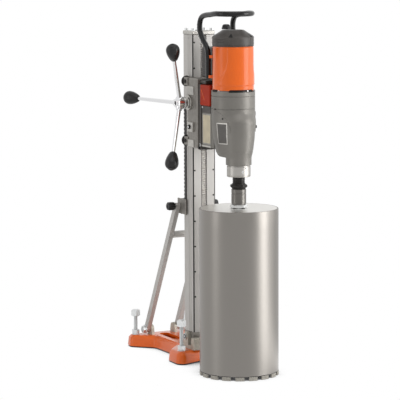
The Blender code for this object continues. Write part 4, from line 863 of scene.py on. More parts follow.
@dataclass
class Base:
    """The cast base with its levelling screws and the foot that carries the column."""

    height: float = 0.036
    front: float = -0.036
    rear: float = 0.288
    front_half: float = 0.1
    waist_half: float = 0.046
    rear_half: float = 0.102
    corner: float = 0.009
    draft: float = 0.0022
    chamfer: float = 0.0085
    gasket_and_shade: float = 0.0034
    slot_half: float = 0.015
    slot_front: float = 0.135
    slot_rear: float = 0.245
    screw_radius: float = 0.006
    screw_pitch: float = 0.00175
    head_flats: float = 0.019
    head_height: float = 0.02
    head_turn: float = math.radians(-16)
    nut_turn: float = math.radians(20)
    nut_flats: float = 0.0195
    lug_half: float = 0.013

    def outline(self) -> list[Point]:
        """Returns the base's outline: a broad front, a waist and a broad rear."""
        front, rear, waist = self.front, self.rear, self.waist_half
        return mirrored(
            [
                (0.022, front - 0.005), (0.084, front - 0.0285), (self.front_half, front - 0.014),
                (self.front_half - 0.003, front + 0.0485), (waist, front + 0.105), (waist, rear - 0.09),
                (self.rear_half, rear - 0.034), (self.rear_half - 0.006, rear), (waist - 0.012, rear - 0.01)
            ]
        )

    def ring(self, distance: float, height: float) -> Ring:
        """Returns the outline with round corners, moved inwards by a distance, at a height."""
        return [Vector((x, y, height)) for x, y in rounded(inset(self.outline(), distance), self.corner)]

    def screws(self) -> list[tuple[str, float, float]]:
        """Returns the name and place of each levelling screw."""
        return [
            (f"{end}_{side}", *middle(f"lock_nut_{end}_{side}").xy)
            for end in ENDS
            for side, _ in SIDES
        ]

    def build_casting(self) -> None:
        """Builds the casting: drafted sides, a broad chamfer, an open slot and two ribs along the waist."""
        top, edge = self.height, self.chamfer
        levels = [
            (0.0, self.gasket_and_shade), (0.0, self.gasket_and_shade + 0.002), (self.draft, top - 0.0085),
            (self.draft + 0.0008, top - 0.0072), (edge - 0.0005, top - 0.0008), (edge + 0.0012, top),
        ]
        casting = loft("base_casting", [self.ring(d, z) for d, z in levels], Paint.ORANGE)
        cutters = [
            self.slot("slot_cutter", self.slot_half, -0.01, top + 0.01),
            self.slot("hollow_cutter", self.slot_half + 0.012, -0.01, top - 0.007),
        ]
        carved(casting, cutters + self.holes(0.0006))
        eased(casting, 0.0007)
        fit(casting, "root", Slot.ORANGE, "base_plate")
        # A black rubber strip under the casting, tall enough that it also gives the dark line of shade under
        # the base: partly a gasket, partly painted shade.
        ring = [self.ring(0.0016, z) for z in (0.0, self.gasket_and_shade)]
        gasket_and_shade = carved(
            loft("base_gasket_and_shade", ring, Paint.RUBBER_AND_SHADE),
            [self.slot("gasket_cutter", self.slot_half + 0.002, -0.01, 0.02), *self.holes(0.0016)],
        )
        fit(gasket_and_shade, "root", Slot.BLACK)
        for side, sign in SIDES:
            rib = [
                (0.0335, 0.046), (0.0375, 0.052), (0.0375, 0.205), (0.0335, 0.212), (0.0305, 0.205),
                (0.0305, 0.052),
            ]
            outline = [(sign * x, y) for x, y in rib]
            piece = prism(f"base_rib_{side}", outline, top - 0.002, top + 0.0028, Paint.ORANGE, 0.0012)
            fit(piece, "root", Slot.ORANGE)
            self.build_lug(side, sign)

    def holes(self, room: float) -> list[Piece]:
        """Builds the shapes that cut the levelling screws' holes.

        Args:
            room: The room round each screw.

        Returns:
            One shape for each screw.
        """
        radius = self.screw_radius + room
        profile = [(radius, 0.06), (radius, -0.01)]
        return [
            turned(f"hole_{name}", profile, Paint.ORANGE, at(x, y, 0), 24)
            for name, x, y in self.screws()
        ]

    def slot(self, name: str, half: float, low: float, high: float) -> Piece:
        """Builds the shape that cuts the anchor slot.

        Args:
            name: The shape's name.
            half: Half the slot's width.
            low: Its lower end.
            high: Its upper end.

        Returns:
            The shape.
        """
        front, rear = self.slot_front + self.slot_half, self.slot_rear - self.slot_half
        turn = [math.pi * i / 16 for i in range(17)]
        outline = [(half * math.cos(a), rear + half * math.sin(a)) for a in turn]
        outline += [(-half * math.cos(a), front - half * math.sin(a)) for a in turn]
        return prism(name, outline, low, high, Paint.ORANGE)

    def build_lug(self, side: str, sign: float) -> None:
        """Builds one of the two upright lugs that hold the braces.

        Args:
            side: The lug's side.
            sign: Minus one on the left.
        """
        eye = middle(f"brace_pivot_bolt_{side}")
        turn = [math.pi * i / 16 for i in range(17)]
        outline = [(eye.y + self.lug_half * math.cos(a), eye.z + self.lug_half * math.sin(a)) for a in turn]
        foot, half = self.height - 0.004, self.lug_half + 0.003
        outline += [(eye.y - half, foot), (eye.y + half, foot)]
        inner, outer = 0.0328, 0.0428
        rings = [[Vector((sign * x, y, z)) for y, z in outline] for x in (inner, outer)]
        lug = eased(loft(f"base_lug_{side}", rings, Paint.PALE_CAST), 0.0014)
        fit(lug, "root", Slot.CAST)

    def build_screws(self) -> None:
        """Builds the levelling screws with their square heads, nuts and washers."""
        for name, x, y in self.screws():
            low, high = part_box(f"levelling_screw_{name}")
            nut_low, nut_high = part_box(f"lock_nut_{name}")
            head_low = high.z - self.head_height
            rod = threaded(
                f"screw_thread_{name}", self.screw_radius, self.screw_pitch, head_low + 0.001 - low.z,
                Paint.ZINC, at(x, y, low.z),
            )
            fit(rod, f"screw_{name}", Slot.ZINC, f"levelling_screw_{name}")
            place = at(x, y, head_low) @ Matrix.Rotation(self.head_turn, 4, "Z")
            head = nut(f"screw_head_{name}", self.head_flats, 4, self.head_height, 0.0, Paint.ZINC, place)
            fit(head, f"screw_{name}", Slot.ZINC)
            washer = turned(
                f"screw_washer_{name}",
                [(0.0066, 0.0016), (0.0112, 0.0016), (0.0116, 0.0012), (0.0116, 0), (0.0066, 0)],
                Paint.ZINC, at(x, y, nut_low.z), 48, True,
            )
            fit(washer, "root", Slot.ZINC)
            height = nut_high.z - nut_low.z - 0.0018
            spot = at(x, y, nut_low.z + 0.0018) @ Matrix.Rotation(self.nut_turn, 4, "Z")
            piece = nut(
                f"screw_nut_{name}", self.nut_flats, 6, height, self.screw_radius + 0.0003, Paint.ZINC, spot
            )
            fit(piece, "root", Slot.ZINC, f"lock_nut_{name}")

    def build_foot(self) -> None:
        """Builds the foot's casting, the tilt pin's ends and the bolts that hold the foot down."""
        fit(refined("column_foot", Paint.PALE_CAST, 0.0012), "root", Slot.HOUSING, "column_foot")
        fit(refined("tilt_pin", Paint.ZINC, 0.0006), "root", Slot.ZINC, "tilt_pin")
        pin = middle("tilt_pin")
        for side, sign in SIDES:
            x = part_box("tilt_pin")[1].x * sign
            clip = turned(
                f"tilt_clip_{side}", [(0.0042, 0.0008), (0.0066, 0.0008), (0.0066, 0), (0.0042, 0)],
                Paint.BLACKENED, along((sign, 0, 0), (x, pin.y, pin.z)), 32, True,
            )
            fit(clip, "root", Slot.BLACKENED)
            spot = at(sign * 0.03, 0.0255, self.height + 0.0112)
            fit(nut(f"foot_bolt_{side}", 0.01, 6, 0.006, 0.0, Paint.ZINC, spot), "root", Slot.ZINC)

    def build(self) -> None:
        """Builds the whole base."""
        self.build_casting()
        self.build_screws()
        self.build_foot()


# ---------------------------------------------------------------- column and braces


@dataclass
class Column:
    """The extruded column with its rack, shoe, top plate and locking rails."""

    groove_y: float = -0.013
    groove_half: float = 0.006
    groove_depth: float = 0.0045
    slot_half: float = 0.0075
    slot_floor: float = -0.0207
    line_depth: float = 0.0012
    screw_side: float = 0.0295
    screw_first: float = 0.9125
    screw_pitch: float = 0.0725
    screw_count: int = 11
    # Width of the rebate along each front edge, which holds a strip of painted shade.
    edge_groove_shade: float = 0.0038

    def outline(self) -> list[Point]:
        """Returns the extrusion's outline, with its grooves, for the +X side and mirrored."""
        low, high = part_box("column")
        half, front, rear, line = high.x, low.y, high.y, self.line_depth
        groove, depth = self.groove_half, self.groove_depth
        return mirrored(
            [
                (self.slot_half, self.slot_floor), (self.slot_half, front + 0.0008),
                (self.slot_half + 0.0008, front), (half - self.edge_groove_shade - 0.0002, front),
                (half - self.edge_groove_shade - 0.0002, front + line), (half, front + line),
                (half, self.groove_y - groove), (half - depth, self.groove_y - 0.0015),
                (half - depth, self.groove_y + 0.0015), (half, self.groove_y + groove),
                (half, self.groove_y + groove + 0.003), (half - 0.0016, self.groove_y + groove + 0.0034),
                (half - 0.0016, self.groove_y + groove + 0.005), (half, self.groove_y + groove + 0.0054),
                (half, rear - 0.003), (half - 0.003, rear), (0.012, rear), (0.012, rear - 0.003),
                (0.006, rear - 0.003), (0.006, rear),
            ]
        )

    def build_extrusion(self) -> None:
        """Builds the extrusion and the row of small screws on each side of the rack."""
        low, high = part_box("column")
        column = prism("column_extrusion", self.outline(), low.z, high.z, Paint.ANODISED, 0.0004)
        fit(column, "column", Slot.ANODISED, "column")
        for side, sign in SIDES:
            for row in range(self.screw_count):
                z = self.screw_first - row * self.screw_pitch
                place = along((0, -1, 0), (sign * self.screw_side, low.y, z))
                profile = [
                    (0.001, 0.0004), (0.0013, 0.0007), (0.0021, 0.0007), (0.0025, 0.0002), (0.0025, -0.0004)
                ]
                piece = turned(f"rack_screw_{side}_{row}", profile, Paint.BLACKENED, place, 20)
                fit(piece, "column", Slot.BLACKENED)

    def build_marks(self) -> None:
        """Builds strips of painted shade: in the gap beside the rack and in the rebate along each front edge.
        """
        low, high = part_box("column")
        for side, sign in SIDES:
            # Near-black strips stand for the shade in these gaps and rebates: painted shade.
            near, far = sorted((sign * (self.slot_half + 0.0004), sign * (self.slot_half + 0.0014)))
            shade_strip = block(
                f"rack_gap_shade_{side}", (near, low.y - 0.0002, low.z), (far, low.y + 0.001, high.z),
                Paint.RUBBER_AND_SHADE, 0,
            )
            fit(shade_strip, "column", Slot.BLACK)
            edge = self.edge_groove_shade if sign < 0 else self.edge_groove_shade / 2
            near, far = sorted((sign * (high.x - edge), sign * (high.x - 0.0008)))
            shade_strip = block(
                f"edge_groove_shade_{side}", (near, low.y + 0.0002, low.z), (far, low.y + 0.002, high.z),
                Paint.RUBBER_AND_SHADE, 0,
            )
            fit(shade_strip, "column", Slot.BLACK)

    def build_ends(self) -> None:
        """Builds the shoe, the top plate and what is screwed to it."""
        for node, paint, slot, width in (
            ("column_shoe", Paint.CAST, Slot.CAST, 0.001), ("top_plate", Paint.MACHINED, Slot.CAST, 0.0008),
            ("feed_rack", Paint.RACK, Slot.STEEL, 0.00015),
            ("brace_rail_left", Paint.BLACKENED, Slot.BLACKENED, 0.0003),
            ("brace_rail_right", Paint.BLACKENED, Slot.BLACKENED, 0.0003),
        ):
            fit(refined(node, paint, width), "column", slot, node)
        low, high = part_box("top_bolt")
        washer = turned(
            "top_washer", [(0.01, 0.002), (0.0104, 0.0016), (0.0104, 0)], Paint.ZINC, at(0, 0, low.z), 48,
        )
        fit(washer, "column", Slot.ZINC, "top_bolt")
        spot = at(0, 0, low.z + 0.0021)
        piece = nut("top_bolt_head", 0.0125, 6, high.z - low.z - 0.0022, 0.0, Paint.ZINC, spot)
        fit(piece, "column", Slot.ZINC)
        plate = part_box("top_plate")[1].z
        for index, (x, y) in enumerate(
            ((-0.029, -0.021), (0.029, -0.021), (-0.029, 0.021), (0.029, 0.021))
        ):
            profile = [(0.002, 0.0048), (0.0024, 0.007), (0.0044, 0.007), (0.005, 0.0064), (0.005, 0)]
            screw = turned(f"top_screw_{index}", profile, Paint.ZINC, at(x, y, plate), 32)
            fit(screw, "column", Slot.ZINC)

    def build(self) -> None:
        """Builds the whole column."""
        self.build_extrusion()
        self.build_marks()
        self.build_ends()


@dataclass
class Braces:
    """The two braces, their slide on the column, the crossbar and the clamp knobs."""

    lobes: int = 6
    lobe_depth: float = 0.0016

    def build(self) -> None:
        """Builds the legs, the slide, the knobs and the nuts at the lower pivots."""
        fit(refined("brace_slide", Paint.CAST, 0.001), "brace_slide", Slot.CAST, "brace_slide")
        piece = refined("brace_crossbar", Paint.ANODISED, 0.0006)
        fit(piece, "brace_frame", Slot.ANODISED, "brace_crossbar")
        for side, sign in SIDES:
            piece = refined(f"brace_leg_{side}", Paint.ANODISED, 0.0016, 3)
            fit(piece, "brace_frame", Slot.ANODISED, f"brace_leg_{side}")
            self.build_knob(side, sign)
            self.build_pivot(side, sign)

    def build_knob(self, side: str, sign: float) -> None:
        """Builds a lobed clamp knob.

        Args:
            side: The knob's side.
            sign: Minus one on the left.
        """
        low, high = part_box(f"brace_knob_{side}")
        centre = (low + high) / 2
        outer = high.x if sign > 0 else low.x
        start, length, radius = outer - sign * 0.022, 0.022, (high.y - low.y) / 2
        profile = [
            (0.006, 0.0), (0.0095, 0.0006), (radius, 0.0032), (radius, length - 0.0035),
            (0.88 * radius, length - 0.0009), (0.72 * radius, length), (0.42 * radius, length),
            (0.4 * radius, length - 0.0012),
        ]

        def lobes(r: float, a: float) -> float:
            """Returns how deep the lobes are cut at a radius and an angle."""
            return self.lobe_depth * (0.5 - 0.5 * math.cos(self.lobes * a)) if r > 0.8 * radius else 0.0

        place = along((sign, 0, 0), (start, centre.y, centre.z))
        knob = fluted(f"clamp_knob_{side}", profile, lobes, Paint.BLACK, place, 72)
        fit(knob, f"brace_knob_{side}", Slot.BLACK, f"brace_knob_{side}")
        inner = low.x if sign > 0 else high.x
        stud = turned(
            f"clamp_stud_{side}", [(0.0046, 0.0), (0.005, 0.0006), (0.005, abs(start - inner) + 0.003)],
            Paint.ZINC, along((sign, 0, 0), (inner, centre.y, centre.z)), 32,
        )
        fit(stud, f"brace_knob_{side}", Slot.ZINC)

    def build_pivot(self, side: str, sign: float) -> None:
        """Builds the bolt, nut and washer at a brace's lower end.

        Args:
            side: The brace's side.
            sign: Minus one on the left.
        """
        low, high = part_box(f"brace_pivot_bolt_{side}")
        centre = (low + high) / 2
        inner, outer = (low.x, high.x) if sign > 0 else (high.x, low.x)
        bolt = turned(
            f"pivot_bolt_{side}",
            [
                (0.0042, 0.0), (0.005, 0.0008), (0.005, abs(outer - inner) - 0.0008),
                (0.004, abs(outer - inner)),
            ],
            Paint.ZINC, along((sign, 0, 0), (inner, centre.y, centre.z)), 32,
        )
        fit(bolt, "root", Slot.ZINC, f"brace_pivot_bolt_{side}")
        nut_start = outer - sign * 0.009
        washer = turned(
            f"pivot_washer_{side}",
            [(0.0052, 0.0022), (0.0128, 0.0022), (0.0132, 0.0016), (0.0132, 0.0), (0.0052, 0.0)],
            Paint.ZINC, along((sign, 0, 0), (nut_start, centre.y, centre.z)), 40, True,
        )
        fit(washer, "root", Slot.ZINC)
        place = along((sign, 0, 0), (nut_start + sign * 0.0023, centre.y, centre.z))
        fit(nut(f"pivot_nut_{side}", 0.019, 6, 0.0076, 0.0049, Paint.ZINC, place), "root", Slot.ZINC)


# ---------------------------------------------------------------- carriage and crank


@dataclass
class Carriage:
    """The carriage on its rollers, with the mount plate and the feed lock."""

    wall: float = -0.055
    plate_low: float = 0.6165
    flange_screws: int = 4

    def build_body(self) -> None:
        """Builds the carriage's casting with its pads and screws."""
        fit(refined("carriage_body", Paint.CAST, 0.001), "carriage", Slot.CAST, "carriage_body")
        low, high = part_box("mount_plate")
        front, rear = low.y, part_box("carriage_body")[0].y - 0.0003
        plate = block(
            "mount_plate_body", (-0.05, front, self.plate_low), (0.05, rear, high.z), Paint.DARK, 0.001,
        )
        fit(plate, "carriage", Slot.DARK, "mount_plate")
        fit(refined("mount_clamp", Paint.DARK, 0.0014), "carriage", Slot.DARK, "mount_clamp")
        bar = [(0.003, 0.1076), (0.004, 0.1066), (0.004, 0.001), (0.003, 0.0)]
        place = along((1, 0, 0), (-0.0538, rear - 0.0045, self.plate_low + 0.0052))
        fit(turned("hook_bar", bar, Paint.BLACKENED, place, 32), "carriage", Slot.DARK)
        for side, sign in SIDES:
            place = along((sign, 0, 0), (sign * 0.05, front + 0.0062, self.plate_low + 0.014))
            ring = [(0.002, 0.0012), (0.0036, 0.0012), (0.0042, 0.0006), (0.0042, 0), (0.002, 0)]
            fit(turned(f"plate_ring_{side}", ring, Paint.ZINC, place, 32, True), "carriage", Slot.ZINC)
            screw = [(0.0009, 0.0004), (0.0011, 0.0016), (0.0024, 0.0016), (0.0027, 0.0011), (0.0027, 0)]
            piece = turned(f"plate_screw_{side}", screw, Paint.BLACKENED, place, 32)
            fit(piece, "carriage", Slot.BLACKENED)
            near, far = sorted((sign * 0.0545, sign * 0.0572))
            for label, floor, ceiling in (("side_panel", 0.768, 0.792), ("lower_panel", 0.622, 0.642)):
                corners = (near, -0.074, floor), (far, -0.038, ceiling)
                panel = block(f"{label}_{side}", *corners, Paint.MACHINED, 0.0008)
                fit(panel, "carriage", Slot.CAST)

    def build_rollers(self) -> None:
        """Builds the four rollers and the screws that hold their axles."""
        for level in ("upper", "lower"):
            for side, sign in SIDES:
                name = f"roller_{level}_{side}"
                centre = middle(name)
                radius = (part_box(name)[1].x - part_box(name)[0].x) / 2
                profile = [
                    (0.0045, 0.005), (0.0098, 0.005), (0.0104, 0.0046), (radius - 0.0004, 0.0014),
                    (radius, 0.0009), (radius, -0.0009), (radius - 0.0004, -0.0014), (0.0104, -0.0046),
                    (0.0098, -0.005), (0.0045, -0.005),
                ]
                roller = turned(f"{name}_rim", profile, Paint.BLACKENED, along((0, 1, 0), centre), 64, True)
                fit(roller, name, Slot.BLACKENED, name)
                screw = turned(
                    f"axle_screw_{level}_{side}",
                    [(0.0022, 0.0016), (0.0026, 0.0028), (0.005, 0.0028), (0.0056, 0.0022), (0.0056, 0)],
                    Paint.BLACKENED, along((sign, 0, 0), (sign * 0.0573, -0.026, centre.z)), 36,
                )
                fit(screw, "carriage", Slot.BLACKENED)

    def build_flange(self) -> None:
        """Builds the crank shaft's flange on the wall, with its screws."""
        low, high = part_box("shaft_bush")
        centre = (low + high) / 2
        place = along((-1, 0, 0), (self.wall, centre.y, centre.z))
        radius = (high.z - low.z) / 2
        profile = [
            (0.0089, 0.0083), (0.0125, 0.0083), (0.0132, 0.0076), (0.0138, 0.0058),
            (radius - 0.001, 0.0052), (radius, 0.0044), (radius, 0.0004), (0.0089, 0.0004),
        ]
        piece = turned("shaft_flange", profile, Paint.MACHINED, place, 72, True)
        fit(piece, "carriage", Slot.CAST, "shaft_bush")
        for index in range(self.flange_screws):
            a = math.pi / 4 + index * 2 * math.pi / self.flange_screws
            spot = (self.wall - 0.005, centre.y + 0.0172 * math.cos(a), centre.z + 0.0172 * math.sin(a))
            profile = [(0.0009, 0.0008), (0.0011, 0.0018), (0.0022, 0.0018), (0.0025, 0.0014), (0.0025, 0)]
            screw = turned(f"flange_screw_{index}", profile, Paint.BLACKENED, along((-1, 0, 0), spot), 24)
            fit(screw, "carriage", Slot.BLACKENED)

    def build_lock(self) -> None:
        """Builds the spring button that locks the feed and the pad round it."""
        low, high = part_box("feed_lock")
        centre = (low + high) / 2
        pad = block(
            "lock_pad", (self.wall - 0.0055, centre.y - 0.02, centre.z - 0.0135),
            (self.wall + 0.001, centre.y + 0.013, centre.z + 0.0135), Paint.MACHINED,
        )
        hole = turned(
            "lock_hole", [(0.0068, 0.02), (0.0068, -0.02)], Paint.MACHINED,
            along((-1, 0, 0), (self.wall, centre.y, centre.z)), 40,
        )
        eased(carved(pad, [hole]), 0.0009)
        fit(pad, "carriage", Slot.CAST)
        length = high.x - low.x
        profile = [
            (0.0034, length - 0.0006), (0.0038, length), (0.0052, length), (0.006, length - 0.0009),
            (0.006, 0.0008), (0.0054, 0.0),
        ]
        button = turned(
            "lock_button", profile, Paint.BLACK, along((-1, 0, 0), (high.x, centre.y, centre.z)), 48,
        )
        fit(button, "feed_lock", Slot.BLACK, "feed_lock")
        insert = turned(
            "lock_button_disc", [(0.003, 0.0006), (0.0033, 0.0003), (0.0033, -0.0004)], Paint.ZINC,
            along((-1, 0, 0), (low.x + 0.0003, centre.y, centre.z)), 32,
        )
        fit(insert, "feed_lock", Slot.ZINC)

    def build(self) -> None:
        """Builds the whole carriage."""
        self.build_body()
        self.build_rollers()
        self.build_flange()
        self.build_lock()


@dataclass
class Crank:
    """The crank: a hub on the pinion's shaft, three spokes and their knobs."""

    spokes: int = 3
    first_angle: float = math.radians(88)
    cone: float = math.radians(21)
    reach: float = 0.212
    spoke_radius: float = 0.006
    tip_radius: float = 0.005
    knob_radius: float = 0.019
    knob_length: float = 0.053
    knob_neck: float = 0.0085

    def build_hub(self) -> Vector:
        """Builds the hub.

        Returns:
            The point in the hub where the spokes' lines meet.
        """
        low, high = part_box("crank_hub")
        centre = (low + high) / 2
        length, radius = high.x - low.x, (high.z - low.z) / 2
        profile = [
            (0.006, length - 0.003), (0.0066, length - 0.0006), (0.0072, length), (0.0104, length),
            (0.0112, length - 0.0008), (0.0118, length - 0.005), (radius - 0.0016, length - 0.0062),
            (radius, length - 0.0078), (radius, 0.009), (radius - 0.0006, 0.0084), (radius - 0.0006, 0.007),
            (radius, 0.0064), (radius, 0.0022), (radius - 0.002, 0.0002), (0.0088, 0.0),
        ]
        hub = turned("hub_body", profile, Paint.CHROME, along((-1, 0, 0), (high.x, centre.y, centre.z)), 72)
        fit(hub, "crank", Slot.CHROME, "crank_hub")
        cap = turned(
            "hub_cap",
            [(0.0016, 0.0008), (0.002, 0.0014), (0.005, 0.0014), (0.0058, 0.0006), (0.0058, -0.001)],
            Paint.BLACKENED, along((-1, 0, 0), (low.x + 0.003, centre.y, centre.z)), 40,
        )
        fit(cap, "crank", Slot.BLACKENED)
        return centre

    def knob_profile(self) -> list[Point]:
        """Returns the pear knob's profile from its far end to its neck."""
        widest, length, neck = self.knob_length * 0.66, self.knob_length, self.knob_neck
        points: list[Point] = []
        for i in range(1, 13):
            a = math.pi / 2 * i / 12
            points.append((self.knob_radius * math.sin(a), widest + (length - widest) * math.cos(a)))
        for i in range(1, 12):
            share = 1 - i / 12
            swell = math.sin(share * math.pi / 2) ** 0.9
            points.append((neck + (self.knob_radius - neck) * swell, widest * share))
        return points + [(neck - 0.0004, 0.0006), (neck - 0.0012, 0.0), (self.tip_radius - 0.0002, 0.0)]

    def build(self) -> None:
        """Builds the hub, the spokes and the knobs."""
        centre = self.build_hub()
        for index in range(self.spokes):
            angle = self.first_angle + index * 2 * math.pi / self.spokes
            radial = Vector((0, math.sin(angle), math.cos(angle)))
            way = radial * math.cos(self.cone) + Vector((-1, 0, 0)) * math.sin(self.cone)
            start = 0.012
            knob_start = self.reach - self.knob_length
            length = knob_start - start + 0.004
            profile = [(self.tip_radius, length), (self.spoke_radius, 0.006), (self.spoke_radius, 0.0)]
            number = index + 1
            spoke = turned(f"spoke_{number}", profile, Paint.CHROME, along(way, centre + way * start), 48)
            fit(spoke, "crank", Slot.CHROME, f"crank_spoke_{number}")
            profile = [(0.0062, 0.0135), (0.0082, 0.0125), (0.009, 0.011), (0.0098, 0.0)]
            socket = turned(
                f"spoke_socket_{number}", profile, Paint.CHROME, along(way, centre + way * 0.0095), 48,
            )
            fit(socket, "crank", Slot.CHROME)
            place = along(way, centre + way * knob_start)
            knob = turned(f"knob_{number}", self.knob_profile(), Paint.BLACK, place, 64)
            fit(knob, "crank", Slot.BLACK, f"crank_knob_{number}")
            profile = [(0.003, 0.001), (0.0034, 0.0016), (0.0072, 0.0013), (0.0078, 0.0006)]
            disc = turned(
                f"knob_disc_{number}", profile, Paint.BLACK,
                along(way, centre + way * (self.reach - 0.0012)), 48,
            )
            fit(disc, "crank", Slot.BLACK)


# ---------------------------------------------------------------- gear housing


@dataclass
class GearHousing:
    """The gear housing: a round body that flows into the boss about the spindle."""

    blend: float = 0.01
    body_radius: float = 0.0605
    groove_rises: tuple[float, float] = (0.154, 0.189)
    groove_depth: float = 0.0014
    bracket_low: float = 0.6265
    steps: int = 120
    #: Height above the lower end, body radius and boss radius. A body radius below zero means no body there.
    levels: tuple[Triple, ...] = (
        (0.0, -0.05, 0.0347), (0.0008, -0.05, 0.0355), (0.0185, -0.05, 0.0355), (0.0192, 0.024, 0.0356),
        (0.02, 0.033, 0.0357), (0.0215, 0.0388, 0.0359), (0.025, 0.043, 0.0364), (0.034, 0.0478, 0.0388),
        (0.0405, 0.0492, 0.0396), (0.0412, 0.0494, 0.0402), (0.075, 0.0565, 0.0443),
        (0.114, 0.0605, 0.0458), (0.118, 0.0605, 0.0455), (0.122, 0.0605, 0.0446), (0.127, 0.0605, 0.0426),
        (0.134, 0.0605, 0.0386), (0.148, 0.0605, 0.0275), (0.156, 0.0605, 0.02), (0.2007, 0.0605, 0.02),
    )

    def __post_init__(self) -> None:
        """Takes the two axes and the height from the frame."""
        self.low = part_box("gear_housing")[0].z
        self.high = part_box("gear_housing")[1].z
        self.motor = middle("top_cap").y
        self.spindle = middle("core_barrel").y

    def radii(self, rise: float) -> tuple[float, float]:
        """Gives the body's and the boss's radius.

        Args:
            rise: The height above the lower end.

        Returns:
            The two radii.
        """
        for first, second in zip(self.levels, self.levels[1:]):
            if rise <= second[0] + 1e-9:
                share = (rise - first[0]) / (second[0] - first[0])
                return tuple(a + (b - a) * share for a, b in zip(first[1:], second[1:]))
        return self.levels[-1][1:]

    def reach(self, start_y: float, way: Vector, rise: float) -> float:
        """Finds how far the skin is from a point on the plane of symmetry.

        Args:
            start_y: The point's place along Y.
            way: The direction across the Z axis.
            rise: The height above the lower end.

        Returns:
            The distance.
        """
        body, boss = self.radii(rise)
        near, far = 0.0, 0.12
        for _ in range(24):
            half = (near + far) / 2
            x, y = way.x * half, start_y + way.y * half
            first = math.hypot(x, y - self.motor) - body
            second = math.hypot(x, y - self.spindle) - boss
            h = min(1.0, max(0.0, 0.5 + 0.5 * (second - first) / self.blend))
            depth = second + (first - second) * h - self.blend * h * (1 - h)
            near, far = (half, far) if depth < 0 else (near, half)
        return near

    def on_skin(self, angle: float, z: float, lift: float = 0.0) -> Vector:
        """Gives a point on the skin.

        Args:
            angle: Degrees round the motor's axis, from -Y towards +X.
            z: Its height.
            lift: How far above the skin.

        Returns:
            The point.
        """
        way = outward(angle)
        distance = self.reach(self.motor, way, z - self.low) + lift
        return Vector((way.x * distance, self.motor + way.y * distance, z))

    def vented(self, angle: float) -> bool:
        """Returns whether an air slot lies at an angle, in degrees, round the motor."""
        turn = (angle + 180) % 360 - 180
        return abs(turn) < 40 or 76 < abs(turn) < 104

    def build_shell(self) -> None:
        """Builds the shell with its two groove lines, and castellations below the air slots."""
        rises = {0.0}
        for first, second in zip(self.levels, self.levels[1:]):
            count = max(1, math.ceil((second[0] - first[0]) / 0.0045))
            rises.update(first[0] + (second[0] - first[0]) * i / count for i in range(count + 1))
        for groove in self.groove_rises:
            rises.update((groove - 0.0011, groove - 0.0004, groove + 0.0004, groove + 0.0011))
        centre_y = self.spindle + 0.012
        rings = []
        for rise in sorted(rises):
            cut = self.groove_depth if any(abs(rise - g) < 0.0006 for g in self.groove_rises) else 0.0
            ring = []
            for i in range(self.steps):
                a = 2 * math.pi * i / self.steps
                way = Vector((math.cos(a), math.sin(a), 0))
                distance = self.reach(centre_y, way, rise) - cut
                ring.append(Vector((way.x * distance, centre_y + way.y * distance, self.low + rise)))
            rings.append(ring)
        for lift, pull in ((0.003, 0.0), (0.0035, 0.0006), (0.0035, 0.006)):
            ring = []
            for point in rings[-1]:
                way = Vector((point.x, point.y - self.motor, 0)).normalized()
                angle = math.degrees(math.atan2(way.x, -way.y))
                z = self.high + (-0.0004 if self.vented(angle) else lift)
                base = Vector((way.x, way.y, 0)) * (self.body_radius - pull)
                ring.append(Vector((base.x, self.motor + base.y, z)))
            rings.append(ring)
        shell = loft("housing_shell", rings, Paint.HOUSING)
        fit(shell, "carriage", Slot.HOUSING, "gear_housing")

    def build_trim(self) -> None:
        """Builds the raised ribs, the blank plate in its frame, the plug and the small screws."""
        for side, sign in SIDES:
            path = [
                (86, 0.7335), (74, 0.73), (61, 0.7242), (50, 0.7145), (42, 0.704), (38, 0.693), (36, 0.676),
            ]
            points = [self.on_skin(sign * a, z, -0.0003) for a, z in path]
            fit(tube(f"housing_rib_{side}", points, 0.0018, Paint.HOUSING), "carriage", Slot.HOUSING)
            for index, (angle, z) in enumerate(((84, 0.7385), (57, 0.713))):
                spot = self.on_skin(sign * angle, z, -0.0008)
                way = Vector((spot.x, spot.y - self.motor, 0))
                profile = [
                    (0.0008, 0.0009), (0.0011, 0.0014), (0.0021, 0.0014), (0.0025, 0.0009), (0.0025, 0),
                ]
                screw = turned(
                    f"housing_screw_{side}_{index}", profile, Paint.BLACKENED, along(way, spot), 24,
                )
                fit(screw, "carriage", Slot.BLACKENED)
        piece = self.patch("housing_plate_frame", -77, -43, 0.6425, 0.7015, 0.001, Paint.MACHINED)
        fit(piece, "carriage", Slot.CAST)
        fit(self.patch("housing_plate", -74, -46, 0.6455, 0.6985, 0.0014, Paint.TAG), "carriage", Slot.DARK)
        spot = self.on_skin(64, 0.687, -0.001)
        way = Vector((spot.x, spot.y - self.motor, 0))
        profile = [(0.0018, 0.0052), (0.0022, 0.0066), (0.0036, 0.0066), (0.0042, 0.0058), (0.0042, 0)]
        fit(turned("oil_plug", profile, Paint.BLACK, along(way, spot), 32), "carriage", Slot.BLACK)

    def patch(
        self, name: str, first: float, last: float, low: float, high: float, lift: float, paint: Paint,
    ) -> Piece:
        """Builds a thin plate that lies on the skin.

        Args:
            name: The piece's name.
            first: The angle where it starts, in degrees.
            last: The angle where it ends.
            low: The height of its lower edge.
            high: The height of its upper edge.
            lift: How far it stands above the skin.
            paint: Its finish.

        Returns:
            The object.
        """
        columns, rows = 14, 12
        rings = []
        for i in range(columns + 1):
            angle = first + (last - first) * i / columns
            outer = [self.on_skin(angle, low + (high - low) * k / rows, lift) for k in range(rows + 1)]
            inner = [
                self.on_skin(angle, low + (high - low) * k / rows, -0.001)
                for k in range(rows, -1, -1)
            ]
            rings.append(outer + inner)
        return eased(loft(name, rings, paint), 0.0003)

